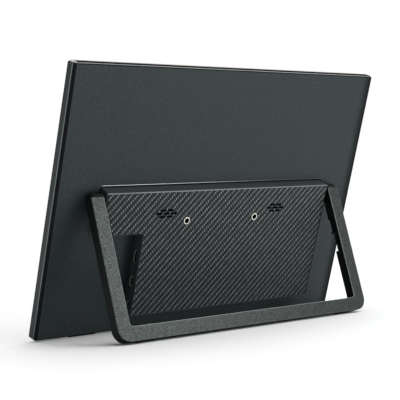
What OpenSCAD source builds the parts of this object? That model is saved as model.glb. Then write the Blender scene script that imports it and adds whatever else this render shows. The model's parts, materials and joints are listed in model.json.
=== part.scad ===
// Portable monitor with a fold-out U-shaped stand, standing open on a table.
// Millimetres, +Z up, +Y towards the rear, +X to the right of a person facing the screen.
// Origin: centre of the bounding box, on the surface the monitor stands on.
// The display is laid out upright ("panel" layout): Y = 0 is the flat of the rear cover and Z = 0 the
// bottom edge of the slab. upright() then leans it back, and swung() turns the stand about its hinge.

/* [Display slab] */
// Width of the slab
slab_w = 325; // [312:1:340]
// Height of the slab, along its face
slab_h = 220; // [205:1:235]
// Depth of the slab, from the bezel to the rear flat
slab_t = 9; // [8.8:0.1:11]
// Radius of the slab's corners
slab_r = 2.5; // [1:0.5:4]
// Thickness of the frame's outer wall
frame_wall = 1.8; // [1.6:0.1:2.4]
// Thickness of the frame's lip round the bezel
frame_lip = 0.9; // [0.6:0.1:1.2]
// Reach of the flange inside the frame
flange_w = 5; // [4:0.5:7]
// Chamfer on the frame's outer arrises
frame_arris = 0.4; // [0.2:0.1:0.6]

/* [Screen] */
// Visible border at the left and right of the screen
side_border = 6.4; // [6:0.1:9]
// Visible border above the screen
top_border = 7; // [6:0.5:12]
// Visible border below the screen
bottom_border = 18; // [16:0.5:24]
// How far the cell runs on behind the bezel at the sides and the top
cell_margin = 3; // [2.4:0.1:3.4]
// How far the cell runs on behind the bezel at the bottom
cell_foot = 8; // [7:0.1:8.4]
// Thickness of the bezel
bezel_t = 0.8; // [0.6:0.1:1]
// Thickness of the adhesive ring behind the bezel
tape_t = 0.2; // [0.1:0.05:0.3]
// Thickness of the liquid-crystal cell
cell_t = 1.2; // [1:0.1:1.4]
// Thickness of the stack of optical films
film_t = 0.6; // [0.4:0.1:0.8]
// Thickness of the light guide
guide_t = 1; // [0.8:0.1:1.2]
// Sheet thickness of the backlight tray
tray_t = 0.5; // [0.3:0.1:0.6]
// Length of each foam pad behind the backlight tray
pad_w = 40; // [20:1:60]
// Height of each foam pad
pad_h = 18; // [10:1:30]

/* [Chassis and rear cover] */
// Sheet thickness of the chassis plate
chassis_t = 0.8; // [0.6:0.1:1]
// Thickness of the rear cover's plate
cover_t = 1.2; // [1:0.1:1.4]
// Depth of the rear cover's rim
cover_rim = 1.9; // [1.7:0.1:2.2]
// Thickness of the rear cover's rim
rim_wall = 1.6; // [1.4:0.1:2]
// Height of the groove between the frame and the rear cover
parting_gap = 0.3; // [0.2:0.1:0.5]
// How far the rear cover stands in from the frame's side
cover_inset = 0.4; // [0.2:0.1:0.6]
// Chamfer round the rear cover
cover_chamfer = 1.1; // [0.6:0.1:1.4]

/* [Electronics housing] */
// Width of the housing's face
housing_w = 243; // [232:1:252]
// Height of the face's top edge above the slab's bottom edge
housing_top = 121.4; // [118:0.1:132]
// How far the housing stands out from the rear cover
housing_d = 9.8; // [9.6:0.1:11.4]
// Wall thickness of the housing
housing_wall = 1.6; // [1.2:0.1:1.8]
// How much wider the housing is at its foot, each side
side_draft = 1.1; // [0.4:0.1:1.2]
// How much higher the housing is at its foot
top_draft = 2; // [1:0.1:3]
// Corner radius of the housing at its foot
housing_r = 3; // [2:0.5:5]
// Chamfer round the housing's face
housing_chamfer = 0.6; // [0.3:0.1:0.7]
// Width of the shadow groove in the rear cover round the housing
groove_w = 1; // [0.6:0.1:1.2]
// Depth of the shadow groove
groove_t = 0.6; // [0.4:0.1:0.7]
// Width of the bare rim round the patterned sheet, chamfer included
sheet_rim = 0.8; // [0.8:0.1:1.4]
// Thickness of the patterned sheet
sheet_t = 0.4; // [0.2:0.1:0.5]
// Width of the notch for the ports
notch_w = 41.2; // [34:0.1:44]
// Height of the notch's ceiling above the slab's bottom edge
notch_top = 86.8; // [85.5:0.1:90]

/* [Ports] */
// Height of the lowest port above the slab's bottom edge
port_z = 23.8; // [23.5:0.1:26]
// Distance from port to port
port_pitch = 21; // [18:0.5:21.5]
// Length of each socket along the board
port_l = 7.5; // [6.5:0.1:9]
// Width of the video socket
video_w = 11.2; // [10.8:0.1:12]
// Height of the video socket
video_h = 3.2; // [3:0.1:3.6]
// Width of the oval sockets
oval_w = 9.2; // [8.9:0.1:9.6]
// Height of the oval sockets
oval_h = 3.3; // [3.1:0.1:3.6]
// Wall thickness of the sockets' shells
shell_t = 0.35; // [0.25:0.05:0.4]

/* [Speakers] */
// Distance of each speaker from the middle
speaker_x = 60.2; // [58:0.1:64]
// Distance of the speakers below the housing's top edge
speaker_drop = 18.5; // [16:0.1:20]
// Length of a speaker
speaker_w = 30; // [26:0.5:32]
// Height of a speaker
speaker_h = 14; // [12:0.5:16]
// Thickness of a speaker
speaker_t = 4.8; // [4:0.1:5.4]
// Thickness of the foam gasket in front of a speaker
gasket_t = 0.8; // [0.5:0.1:1.2]
// Length of a grille slot
slot_w = 5.6; // [4:0.1:5.8]
// Height of a grille slot
slot_h = 1.4; // [0.8:0.1:1.6]
// Distance from slot to slot along a row
slot_pitch = 7.3; // [6.6:0.05:7.6]
// Distance between the rows of slots
row_pitch = 2.7; // [2.4:0.1:3.2]

/* [Threaded inserts] */
// Distance between the two inserts
insert_pitch = 75; // [70:1:78]
// Distance of the inserts below the housing's top edge
insert_drop = 25.7; // [23:0.1:26]
// Diameter of an insert's body
insert_d = 5.6; // [5.2:0.1:6.2]
// Diameter of an insert's flange
insert_flange_d = 6.2; // [6.2:0.1:6.8]
// Diameter of the sheet's hole round an insert
insert_hole_d = 7.2; // [6.9:0.1:8]
// Bore of an insert, at the crest of its M4 thread
insert_bore_d = 3.3; // [3.2:0.05:3.5]
// Length of an insert
insert_l = 7.4; // [5:0.1:8]
// How far the flange stands proud of the sheet
insert_proud = 0.1; // [0.05:0.05:0.3]

/* [Boards] */
// Thickness of the main board
board_t = 1.2; // [1:0.1:1.4]
// Length of the main board
board_w = 108; // [90:1:112]
// Height of the main board
board_h = 62; // [58:1:64]
// Height of the bosses under the main board
board_lift = 1; // [0.8:0.1:1.2]
// Width of the display's flat cable
cable_w = 24; // [16:1:30]
// Thickness of the flat cables
cable_t = 0.3; // [0.2:0.05:0.4]

/* [Controls] */
// Depth of the controls behind the rear flat
control_y = 4.4; // [4.2:0.1:4.8]
// Height of the controls' caps, along the depth
control_h = 2.8; // [2.4:0.1:3.2]
// Height of the power button above the slab's bottom edge
power_z = 82.5; // [82:0.1:86]
// Length of the power button
power_l = 8; // [6:0.1:8.4]
// How far the power button stands out
power_out = 1; // [0.6:0.1:1.2]
// Travel of the power button
power_travel = 0.4; // [0.2:0.05:0.5]
// Height of the menu rocker above the slab's bottom edge
rocker_z = 67; // [64:0.1:67.5]
// Length of the menu rocker
rocker_l = 13; // [11:0.1:13.4]
// How far the menu rocker stands out
rocker_out = 2.2; // [1.4:0.1:2.4]
// Tilt of the menu rocker, each way
rocker_tilt = 4; // [2:0.5:4.5]

/* [Stand] */
// Opening angle of the stand
open_angle = 34; // [26:1:50]
// Width of a leg
leg_w = 12; // [11:0.1:14]
// Thickness of the stand
leg_t = 8.8; // [8:0.1:9]
// Width of the bar
bar_w = 11.3; // [10:0.1:13]
// Height of the folded bar's lower edge above the slab's bottom edge
bar_z = 4.1; // [3:0.1:5]
// Thickness of the stand's face plate
face_t = 0.8; // [0.5:0.1:1]
// Outer corner radius of the stand
stand_r = 10.5; // [8:0.5:12]
// Inner corner radius of the stand
stand_inner_r = 3; // [2:0.5:5]
// Round-over on the outer end of each knuckle
knuckle_round = 3; // [1.5:0.1:3.6]
// How far each knuckle lies below the housing's top edge
knuckle_inset = 0.7; // [0.3:0.1:1.5]
// Gap between a leg and the foot of the housing's side
side_gap = 0.9; // [0.7:0.1:1.5]
// Gap between the folded stand and the rear cover
rear_gap = 0.4; // [0.3:0.1:0.6]
// Gap between the folded bar and the housing's bottom
fold_gap = 0.8; // [0.5:0.1:1.2]

/* [Hinges] */
// Diameter of a hinge pin in its bracket
pin_d = 3; // [2.4:0.1:3.2]
// Diameter of a hinge pin's shoulder
shoulder_d = 4.8; // [4.4:0.1:5.2]
// Diameter of a hinge pin in its leg
spigot_d = 3.8; // [3.4:0.1:4.4]
// Depth of a hinge pin in its leg
spigot_l = 7.5; // [6:0.1:8.5]
// Sheet thickness of a bracket's foot
bracket_t = 1.2; // [1:0.1:1.4]
// Thickness of a bracket's ear
ear_t = 1.8; // [1.4:0.1:2.2]
// Length of a bracket's foot
bracket_l = 26; // [24:0.5:27]
// Height of a bracket's foot
bracket_h = 12; // [11:0.1:13]
// Thickness of a friction washer
washer_t = 0.5; // [0.3:0.1:0.6]
// Thickness of a spring washer
spring_t = 0.7; // [0.5:0.1:0.8]
// Height of a hinge nut
nut_t = 2.2; // [1.8:0.1:2.4]

/* [Feet] */
// Radius of the rubber feet
foot_r = 2.2; // [2:0.1:2.6]
// How far the slab's feet stand out below it
slab_foot_drop = 1.5; // [1.2:0.1:1.8]
// Length of a slab foot
slab_foot_l = 25; // [15:1:40]
// Distance of each slab foot from the middle
slab_foot_x = 115.5; // [90:0.5:130]
// How far the stand's feet stand out below the bar
bar_foot_drop = 1; // [0.6:0.1:1.3]
// Length of a stand foot
bar_foot_l = 17; // [10:1:30]
// Distance of each stand foot from the middle
bar_foot_x = 108.5; // [80:0.5:108.5]

/* [Fits] */
// Radial clearance of a turning pin
running = 0.05; // [0.02:0.01:0.1]
// Clearance round pieces that only pass through or sit beside another
clearance = 0.25; // [0.15:0.05:0.3]

/* [Hidden] */
$fn = 48;
EPS = 0.01;                  // overshoot of cutting tools
SIDES = [-1, 1];

// Depths of the slab's layers, from the front
y_front = -slab_t;
y_bezel = y_front + bezel_t;
y_cell = y_bezel + tape_t;
y_films = y_cell + cell_t;
y_guide = y_films + film_t;
y_tray = y_guide + guide_t;
y_flange = y_tray + tray_t;          // front of the frame's flange
y_frame_rear = -cover_rim - parting_gap;
y_chassis = y_frame_rear - chassis_t; // rear of the flange

// Screen and frame outlines
window_w = slab_w - 2 * side_border;
window_h = slab_h - top_border - bottom_border;
inner_w = slab_w - 2 * frame_wall;
inner_h = slab_h - 2 * frame_wall;
inner_r = max(slab_r - frame_wall, 0.5);
cell_w = window_w + 2 * cell_margin;
cell_h = window_h + cell_margin + cell_foot;
cell_z = bottom_border - cell_foot;
tray_wall = 0.4;                     // folded-up sides of the backlight tray
tape_gap = 0.5;                      // bare border on each side of the adhesive ring
led_h = 1.4;                         // height of the strip of lamps
led_count = 36;
driver_t = 0.8;
driver_z = frame_wall + 1.2;
driver_h = cell_z - driver_z - 0.8;
tab_t = 0.25;                        // flexible tabs from the driver board to the cell
tab_w = 18;
tab_count = 4;

pad_x = slab_w * 0.3;                // foam pads, spread over the height
pad_rows = [0.25, 0.72];

// Rear cover
rim_w = slab_w - 2 * cover_inset;
rim_h = slab_h - 2 * cover_inset;
rim_r = max(slab_r - cover_inset, 0.6);
flat_w = rim_w - 2 * cover_chamfer;
flat_h = rim_h - 2 * cover_chamfer;
boss_r = 2.5;

// Housing
face_x = housing_w / 2;
foot_x = face_x + side_draft;
face_r = 1.2;
housing_bottom = bar_z + bar_w + fold_gap;
y_sheet = housing_d - sheet_t;       // floor of the sheet's recess
y_roof = y_sheet - housing_wall;     // inner side of the housing's face
port_wall_x = face_x - notch_w;
function wall_x(y) = foot_x - side_draft * y / housing_d;             // outer side of the side wall
function inner_x(y) = foot_x - housing_wall - side_draft * y / y_roof; // inner side of the side wall

// Small screws
screw_r = 1;
screw_head_r = 1.9;
screw_head_t = 0.8;
sheet_screw_r = 0.9;
sheet_head_r = 1.7;
sheet_head_t = 0.7;
post_r = 2.6;

// Boards
board_x1 = port_wall_x - housing_wall - clearance;
board_x0 = board_x1 - board_w;
board_z0 = housing_bottom + housing_wall + 1;
board_z1 = board_z0 + board_h;
board_rear = board_lift + board_t;
board_hole_in = 4;
board_hole_far = 13;                 // keeps the screws clear of the sockets
cable_x = board_x0 + board_w / 2;
cable_z = board_z1 + 3.6;            // where the display's cable passes the rear cover
cable_y = (y_flange + y_chassis) / 2;
cable_socket_h = 5;
cable_socket_t = 1.2;

// Parts on the main board, from its middle
processor_w = 16;
processor_t = 1.4;
processor_in = 4;
chip_t = 1.1;
memory_w = 8;
memory_h = 6;
memory_x = 24;
memory_z = 6;
regulator_w = 6;
regulator_h = 5;
regulator_x = 14;
regulator_z = 14;
coil_w = 5.4;
coil_t = 3;
coil_x = 27;
coil_pitch = 16;
coil_drop = 2;
capacitor_r = 2;
capacitor_h = 3.6;
capacitor_x = 40;
capacitor_pitch = 7;
capacitor_drop = 16;
capacitor_count = 5;
small_part_w = 1.2;
small_part_h = 2;
small_part_t = 0.8;
small_part_x = 15;
small_part_pitch = 4;
small_part_low = 14;
small_part_high = 18;
small_part_count = 7;

// Ports
port_mouth_x = port_wall_x - 0.3;

// Speakers and inserts
speaker_z = housing_top - speaker_drop;
speaker_y = y_roof - gasket_t - speaker_t;
cone_r = 5.2;
insert_z = housing_top - insert_drop;
insert_y1 = housing_d + insert_proud;
insert_boss_r = insert_d / 2 + 2;
insert_places = [for (s = SIDES) [s * insert_pitch / 2, insert_z]];

// Controls
button_board_t = 1;
switch_t = 3;
switch_l = 3.4;
switch_w = 5;
button_board_rear = control_y - switch_t / 2;
button_board_lift = button_board_rear - button_board_t;
flange_out = 0.9;                    // retaining flange round the power button
flange_h = control_h + flange_out;
side_inner_x = inner_x(control_y + flange_h / 2);
button_board_w = 12;
button_board_z0 = rocker_z - rocker_l / 2 - 4;
button_board_z1 = power_z + power_l / 2 + 4;
flange_x = side_inner_x - 0.1;
flange_t = 0.8;
button_board_x = flange_x - flange_t - power_travel - clearance;
power_switch_x = flange_x - 3;       // outer face of the power switch
stem_d = 1.6;
rocker_pin_d = 1.6;
rocker_hub_d = 3.6;
rocker_x = side_inner_x - 2.6;       // axis of the rocker
rocker_base_l = 12;
rocker_base_x = rocker_x - 1.3;      // inner face of the rocker's feet
rocker_switch_x = rocker_base_x - 0.7;
rocker_tip_x = wall_x(control_y) + rocker_out;
rocker_swing = (rocker_tip_x - rocker_x) * sin(rocker_tilt);
control_room = 1.5;                  // room round each control in the folded leg

// Stand
stand_x0 = foot_x + side_gap;        // inner side of a leg
stand_x1 = stand_x0 + leg_w;
pivot_y = rear_gap + leg_t / 2;
pivot_z = housing_top - knuckle_inset - leg_t / 2;
leg_l = pivot_z - bar_z;
pocket_web = 2.4;                    // what is left of the leg behind the controls' reliefs

// Hinges
ear_x1 = face_x - housing_wall - 0.5;
ear_x0 = ear_x1 - ear_t;
ear_r = min(y_roof - pivot_y - 0.2, 2.9);
washer_r = 2.6;
nut_r = 2.7;
turn_gap = 0.03;                     // between turning and fixed faces
spring_x = ear_x0 - washer_t - turn_gap;
nut_x = spring_x - 2 * spring_t;
pin_x0 = nut_x - nut_t - 0.5;

// Feet: both kinds have one radius, so the surface is parallel to the line through their centres
slab_foot_y = -4.3;
slab_foot_z = foot_r - slab_foot_drop;
foot_seat = 1.2;                     // depth of each foot in its pocket
bar_foot_y = -1.6;
bar_foot_z = -leg_l + foot_r - bar_foot_drop;
foot_open_y = pivot_y + bar_foot_y * cos(open_angle) - bar_foot_z * sin(open_angle);
foot_open_z = pivot_z + bar_foot_y * sin(open_angle) + bar_foot_z * cos(open_angle);
lean = atan2(foot_open_z - slab_foot_z, foot_open_y - slab_foot_y);

// Leaned positions of a panel point, before the origin is set
function leaned_y(y, z) = y * cos(lean) + z * sin(lean);
function leaned_z(y, z) = z * cos(lean) - y * sin(lean);
arris_open_y = pivot_y + leg_t / 2 * cos(open_angle) + leg_l * sin(open_angle);
arris_open_z = pivot_z + leg_t / 2 * sin(open_angle) - leg_l * cos(open_angle);
front_edge_y = leaned_y(y_front, frame_arris);
rear_edge_y = max(leaned_y(arris_open_y, arris_open_z), leaned_y(0, slab_h - cover_inset - cover_chamfer));
origin_y = -(front_edge_y + rear_edge_y) / 2;
origin_z = foot_r - leaned_z(slab_foot_y, slab_foot_z);

// Fastener positions, as [x, z]
chassis_rows = [0.12, 0.5, 0.88];
chassis_x = slab_w / 2 - frame_wall - flange_w / 2;
chassis_z = frame_wall + flange_w / 2;
chassis_holes = concat(
    [for (s = SIDES, z = slab_h * chassis_rows) [s * chassis_x, z]],
    [for (s = SIDES, z = [chassis_z, slab_h - chassis_z]) [s * slab_w / 4, z]]
);
upper_screw_x = speaker_x + speaker_w / 2 + post_r + 3.5;
housing_holes = [
    [-upper_screw_x, housing_top - 8], [upper_screw_x, housing_top - 8], [0, housing_top - 8],
    [-face_x + 10, housing_bottom + 6], [board_x0 - 10, housing_bottom + 6],
    [face_x - 20, notch_top + housing_wall + 5]
];
bracket_holes = [for (s = SIDES, d = [9, 21]) [s * (ear_x0 - d), pivot_z - 3.6]];
board_holes = [
    [board_x0 + board_hole_in, board_z0 + board_hole_in],
    [board_x0 + board_hole_in, board_z1 - board_hole_in],
    [board_x1 - board_hole_far, board_z0 + board_hole_in],
    [board_x1 - board_hole_far, board_z1 - board_hole_in]
];
button_board_holes = [
    [-button_board_x + button_board_w - 2.4, button_board_z0 + 2.4],
    [-button_board_x + button_board_w - 2.4, button_board_z1 - 2.4]
];

// Colours
GRAPHITE = "#3d4446";
STAND_GREY = "#62686a";
SOFT_BLACK = "#1b1e1f";
STEEL = "#b4b6b8";
BRASS = "#c9b98a";
BOARD_GREEN = "#1f4b35";
FOAM = "#2a2a2c";

// --- placing ---------------------------------------------------------------------------------------

// Leans the upright layout back and sets the origin
module upright() {
    translate([0, origin_y, origin_z]) rotate([-lean, 0, 0]) children();
}

// Stand layout: origin on the hinge axis, legs running down to the bar
module swung() {
    upright() translate([0, pivot_y, pivot_z]) rotate([open_angle, 0, 0]) children();
}

// Extrudes an X-Z outline between two depths
module between(y0, y1) {
    translate([0, y1, 0]) rotate([90, 0, 0]) linear_extrude(y1 - y0) children();
}

// Extrudes a Y-Z outline from x0 to x1
module along_x(x0, x1) {
    translate([x0, 0, 0]) rotate([90, 0, 90]) linear_extrude(x1 - x0) children();
}

// Cylinder along the depth at [x, z]
module peg(p, r, y0, y1) {
    translate([p[0], y1, p[1]]) rotate([90, 0, 0]) cylinder(r = r, h = y1 - y0);
}

// Cylinder along the width, about a given axis
module rod(r, x0, x1, y = 0, z = 0) {
    translate([x0, y, z]) rotate([0, 90, 0]) cylinder(r = r, h = x1 - x0);
}

// Box from its lowest to its highest corner
module block(low, high) {
    translate(low) cube(high - low);
}

// Repeats children on both sides of the middle
module both_sides() {
    children();
    mirror([1, 0, 0]) children();
}

// Rectangle with round corners, centred in X, standing on z0
module rounded(w, h, r, z0) {
    translate([0, z0 + h / 2]) {
        square([w - 2 * r, h], center = true);
        square([w, h - 2 * r], center = true);
        for (x = SIDES, z = SIDES) translate([x * (w / 2 - r), z * (h / 2 - r)]) circle(r);
    }
}

// Slot with round ends, along X or along Z, centred on p
module stadium(p, l, h, upright_slot = false) {
    translate(p) rotate(upright_slot ? 90 : 0) {
        square([l - h, h], center = true);
        for (s = SIDES) translate([s * (l - h) / 2, 0]) circle(h / 2);
    }
}

// --- screen ----------------------------------------------------------------------------------------

module window_outline(grow = 0) {
    translate([-window_w / 2 - grow, bottom_border - grow])
        square([window_w + 2 * grow, window_h + 2 * grow]);
}

module cell_outline(shrink = 0) {
    translate([-cell_w / 2 + shrink, cell_z + shrink]) square([cell_w - 2 * shrink, cell_h - 2 * shrink]);
}

module front_bezel() {
    w = slab_w - 2 * frame_lip - 2 * clearance / 5;
    h = slab_h - 2 * frame_lip - 2 * clearance / 5;
    color(SOFT_BLACK) upright() between(y_front, y_bezel) difference() {
        rounded(w, h, max(slab_r - frame_lip, 0.6), (slab_h - h) / 2);
        window_outline();
    }
}

module bezel_tape() {
    color("#101010") upright() between(y_bezel, y_cell) difference() {
        cell_outline(tape_gap);
        window_outline(tape_gap);
    }
}

module lcd_cell() {
    color("#14181b") upright() between(y_cell, y_films) cell_outline();
}

module optical_films() {
    color("#e8ebec") upright() between(y_films, y_guide) cell_outline(tray_wall);
}

module light_guide() {
    color("#dfeaf0") upright() between(y_guide, y_tray) difference() {
        cell_outline(tray_wall);
        translate([-cell_w / 2, cell_z]) square([cell_w, tray_wall + led_h]);
    }
}

module led_strip() {
    pitch = (cell_w - 2 * tray_wall) / led_count;
    z = cell_z + tray_wall;
    color("#f2e9c8") upright() between(y_guide, y_tray) union() {
        translate([-cell_w / 2 + tray_wall, z]) square([cell_w - 2 * tray_wall, led_h / 2]);
        for (i = [0 : led_count - 1])
            translate([(i + 0.5 - led_count / 2) * pitch - pitch / 4, z]) square([pitch / 2, led_h]);
    }
}

module backlight_tray() {
    color("#a7abad") upright() difference() {
        between(y_films, y_flange) cell_outline();
        between(y_films - EPS, y_tray) cell_outline(tray_wall);
    }
}

// Narrow board in front of the frame's lower flange, tied to the cell's foot by flexible tabs
module panel_driver_board() {
    w = cell_w - 30;
    tab_pitch = w / tab_count;
    tab_y = y_cell + cell_t / 2;
    fold_z = driver_z + driver_h / 2;
    color(BOARD_GREEN) upright() {
        block([-w / 2, y_flange - driver_t, driver_z], [w / 2, y_flange, driver_z + driver_h]);
        block([cable_x - cable_w / 2 - 1, y_flange - EPS, frame_wall + flange_w + clearance],
            [cable_x + cable_w / 2 + 1, y_flange + cable_socket_t, driver_z + driver_h]);
        for (i = [0 : tab_count - 1]) {
            x = (i + 0.5 - tab_count / 2) * tab_pitch;
            along_x(x - tab_w / 2, x + tab_w / 2) polygon([
                [y_flange - driver_t, fold_z], [tab_y, fold_z], [tab_y, cell_z],
                [tab_y + tab_t, cell_z], [tab_y + tab_t, fold_z + tab_t],
                [y_flange - driver_t, fold_z + tab_t]
            ]);
        }
    }
}

// Foam pads that keep the backlight tray off the chassis plate
module panel_pads() {
    color(FOAM) upright() for (s = SIDES, z = slab_h * pad_rows) translate([s * pad_x, 0, z])
        block([-pad_w / 2, y_flange, -pad_h / 2], [pad_w / 2, y_chassis, pad_h / 2]);
}

// --- slab casing -----------------------------------------------------------------------------------

// Half-round foot, cut off where it seats in its pocket
module foot_profile(y, z, bottom) {
    intersection() {
        translate([y, z]) circle(foot_r);
        translate([y - 2 * foot_r, bottom - 2 * foot_r]) square([4 * foot_r, 2 * foot_r + foot_seat]);
    }
}

module slab_feet() {
    color("#151515") upright() both_sides()
        along_x(slab_foot_x - slab_foot_l / 2, slab_foot_x + slab_foot_l / 2)
            foot_profile(slab_foot_y, slab_foot_z, 0);
}

module mid_frame() {
    lip_w = slab_w - 2 * frame_lip;
    lip_h = slab_h - 2 * frame_lip;
    hole_w = inner_w - 2 * flange_w;
    hole_h = inner_h - 2 * flange_w;
    color(GRAPHITE) upright() difference() {
        hull() {
            between(y_front + frame_arris, y_frame_rear - frame_arris) rounded(slab_w, slab_h, slab_r, 0);
            between(y_front, y_frame_rear)
                rounded(slab_w - 2 * frame_arris, slab_h - 2 * frame_arris,
                    slab_r - frame_arris, frame_arris);
        }
        between(y_front - EPS, y_bezel) rounded(lip_w, lip_h, max(slab_r - frame_lip, 0.6), frame_lip);
        between(y_bezel - EPS, y_flange) rounded(inner_w, inner_h, inner_r, frame_wall);
        between(y_flange - EPS, y_chassis + EPS) rounded(hole_w, hole_h, inner_r, frame_wall + flange_w);
        between(y_chassis, y_frame_rear + EPS) rounded(inner_w, inner_h, inner_r, frame_wall);
        both_sides() along_x(slab_foot_x - slab_foot_l / 2, slab_foot_x + slab_foot_l / 2)
            foot_profile(slab_foot_y, slab_foot_z, 0);
        for (p = chassis_holes) peg(p, sheet_screw_r, y_flange + clearance, y_chassis + EPS);
    }
}

module chassis_plate() {
    w = inner_w - 2 * clearance;
    h = inner_h - 2 * clearance;
    window_z0 = housing_top + 14;
    window_z1 = slab_h * chassis_rows[2] - 8;
    color("#8d9295") upright() difference() {
        between(y_chassis, y_frame_rear) rounded(w, h, inner_r, frame_wall + clearance);
        // weight-saving windows, in the upper half
        for (s = SIDES) between(y_chassis - EPS, y_frame_rear + EPS)
            translate([s * slab_w / 4 - slab_w / 6, window_z0]) square([slab_w / 3, window_z1 - window_z0]);
        // way for the display's cable
        block([cable_x - cable_w / 2 - 1, y_chassis - EPS, cable_z - 1],
            [cable_x + cable_w / 2 + 1, y_frame_rear + EPS, cable_z + cable_t + 1]);
        for (p = chassis_holes) peg(p, sheet_screw_r, y_chassis - EPS, y_frame_rear + EPS);
        for (p = concat(housing_holes, bracket_holes)) peg(p, screw_r, y_chassis - EPS, y_frame_rear + EPS);
    }
}

module chassis_screws() {
    color(STEEL) upright() for (p = chassis_holes) {
        peg(p, sheet_screw_r, y_flange + clearance, y_frame_rear);
        peg(p, sheet_head_r, y_frame_rear, y_frame_rear + sheet_head_t);
    }
}

// Outline of the housing where the given share of its draft is left, from 0 at its face to 1 at its foot
module housing_outline(draft, inset, r) {
    rounded(2 * (face_x + draft * side_draft - inset),
        housing_top + draft * top_draft - housing_bottom - 2 * inset, r, housing_bottom + inset);
}

module rear_cover() {
    color(GRAPHITE) upright() difference() {
        union() {
            difference() {
                hull() {
                    between(-cover_rim, -cover_chamfer) rounded(rim_w, rim_h, rim_r, cover_inset);
                    between(-cover_rim, 0)
                        rounded(flat_w, flat_h, rim_r / 2, cover_inset + cover_chamfer);
                }
                between(-cover_rim - EPS, -cover_t)
                    rounded(rim_w - 2 * rim_wall, rim_h - 2 * rim_wall, rim_r / 2, cover_inset + rim_wall);
            }
            for (p = concat(housing_holes, bracket_holes)) peg(p, boss_r, y_frame_rear, -cover_t + EPS);
            for (p = board_holes) peg(p, boss_r, -EPS, board_lift);
            for (p = button_board_holes) peg(p, boss_r - 0.4, -EPS, button_board_lift);
        }
        // shadow groove round the housing's foot, but not along the notch
        between(-groove_t, EPS) difference() {
            housing_outline(1, -groove_w, housing_r + groove_w);
            housing_outline(1, 0, housing_r);
            translate([port_wall_x, housing_bottom - 2 * groove_w])
                square([2 * notch_w, notch_top - housing_bottom + 2 * groove_w]);
        }
        for (p = concat(housing_holes, bracket_holes)) peg(p, screw_r, y_frame_rear - EPS, EPS);
        for (p = board_holes) peg(p, sheet_screw_r, -cover_t - EPS, board_lift + EPS);
        for (p = button_board_holes) peg(p, sheet_screw_r, -cover_t - EPS, button_board_lift + EPS);
        block([cable_x - cable_w / 2 - 1, -cover_t - EPS, cable_z - 1],
            [cable_x + cable_w / 2 + 1, EPS, cable_z + cable_t + 1]);
    }
}

// --- electronics housing ---------------------------------------------------------------------------

// Drafted block, wider and higher at its foot, from the rear cover to y1
module housing_block(inset, y1, chamfer = 0) {
    thin = 0.02;
    crease = 0.001;                  // thickness of the slice where the chamfer starts
    hull() {
        between(-EPS, thin) housing_outline(1, inset, max(housing_r - inset, 1));
        between(y1 - chamfer - crease, y1 - chamfer) housing_outline(chamfer / y1, inset, face_r);
        between(y1 - thin, y1) housing_outline(0, inset + chamfer, max(face_r - chamfer, 0.3));
    }
}

// The corner left free for the plugs, grown by a wall
module notch_block(grow, y0, y1) {
    block([port_wall_x - grow, y0, housing_bottom - 5], [foot_x + 5, y1, notch_top + grow]);
}

// Outline of the sheet, shrunk from the face by its rim
module sheet_outline(shrink) {
    difference() {
        rounded(2 * (face_x - shrink), housing_top - housing_bottom - 2 * shrink, face_r,
            housing_bottom + shrink);
        translate([port_wall_x - shrink, 0]) square([2 * notch_w, notch_top + shrink]);
    }
}

// Seven slots in three rows, in front of each speaker
module grille_slots() {
    for (s = SIDES, row = [-1, 0, 1]) {
        count = row == 0 ? 3 : 2;
        for (i = [0 : count - 1])
            stadium([s * speaker_x + (i - (count - 1) / 2) * slot_pitch, speaker_z + row * row_pitch],
                slot_w, slot_h);
    }
}

module patterned_sheet() {
    color("#2f3436") upright() between(y_sheet, housing_d) difference() {
        sheet_outline(sheet_rim + clearance / 5);
        grille_slots();
        for (p = insert_places) translate(p) circle(insert_hole_d / 2);
    }
}

// Mouth of a port in the wall, as a Y-Z outline
module port_hole(z, w, h) {
    translate([board_rear + h / 2 - clearance / 2, z])
        square([h + clearance, w + 2 * clearance], center = true);
}

module housing_cover() {
    color(GRAPHITE) upright() difference() {
        union() {
            difference() {
                housing_block(0, housing_d, housing_chamfer);
                difference() {
                    housing_block(housing_wall, y_roof);
                    notch_block(housing_wall, -1, housing_d);
                }
                notch_block(0, -1, housing_d + 1);
            }
            for (p = housing_holes) peg(p, post_r, 0, y_roof + EPS);
            for (p = insert_places) peg(p, insert_boss_r, insert_y1 - insert_l - 1, y_roof + EPS);
        }
        between(-1, 0) square([4 * slab_w, 4 * slab_h], center = true);
        between(y_sheet, housing_d + 1) sheet_outline(sheet_rim);
        between(y_roof - EPS, housing_d) grille_slots();
        for (p = housing_holes) {
            peg(p, screw_r, -EPS, housing_d);
            peg(p, screw_head_r + clearance, y_sheet - screw_head_t - 0.1, housing_d);
        }
        for (p = insert_places) peg(p, insert_d / 2, 0, housing_d);
        along_x(port_wall_x - housing_wall - 1, port_wall_x + 1) {
            port_hole(port_z, oval_w, oval_h);
            port_hole(port_z + port_pitch, oval_w, oval_h);
            port_hole(port_z + 2 * port_pitch, video_w, video_h);
        }
        both_sides() rod(shoulder_d / 2 + clearance, ear_x1, foot_x + 1, pivot_y, pivot_z);
        control_slot(power_z, power_l + 2 * clearance);
        control_slot(rocker_z, rocker_l + 2 * clearance + 2 * rocker_swing);
    }
}

// Slot through the left side wall for a control
module control_slot(z, l) {
    mirror([1, 0, 0]) along_x(side_inner_x - 2, foot_x + 1)
        stadium([control_y, z], l, control_h + 2 * clearance, true);
}

module housing_screws() {
    color(STEEL) upright() for (p = housing_holes) {
        peg(p, screw_r, y_chassis, y_sheet - screw_head_t - 0.1);
        peg(p, screw_head_r, y_sheet - screw_head_t - 0.1, y_sheet - 0.1);
    }
}

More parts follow.
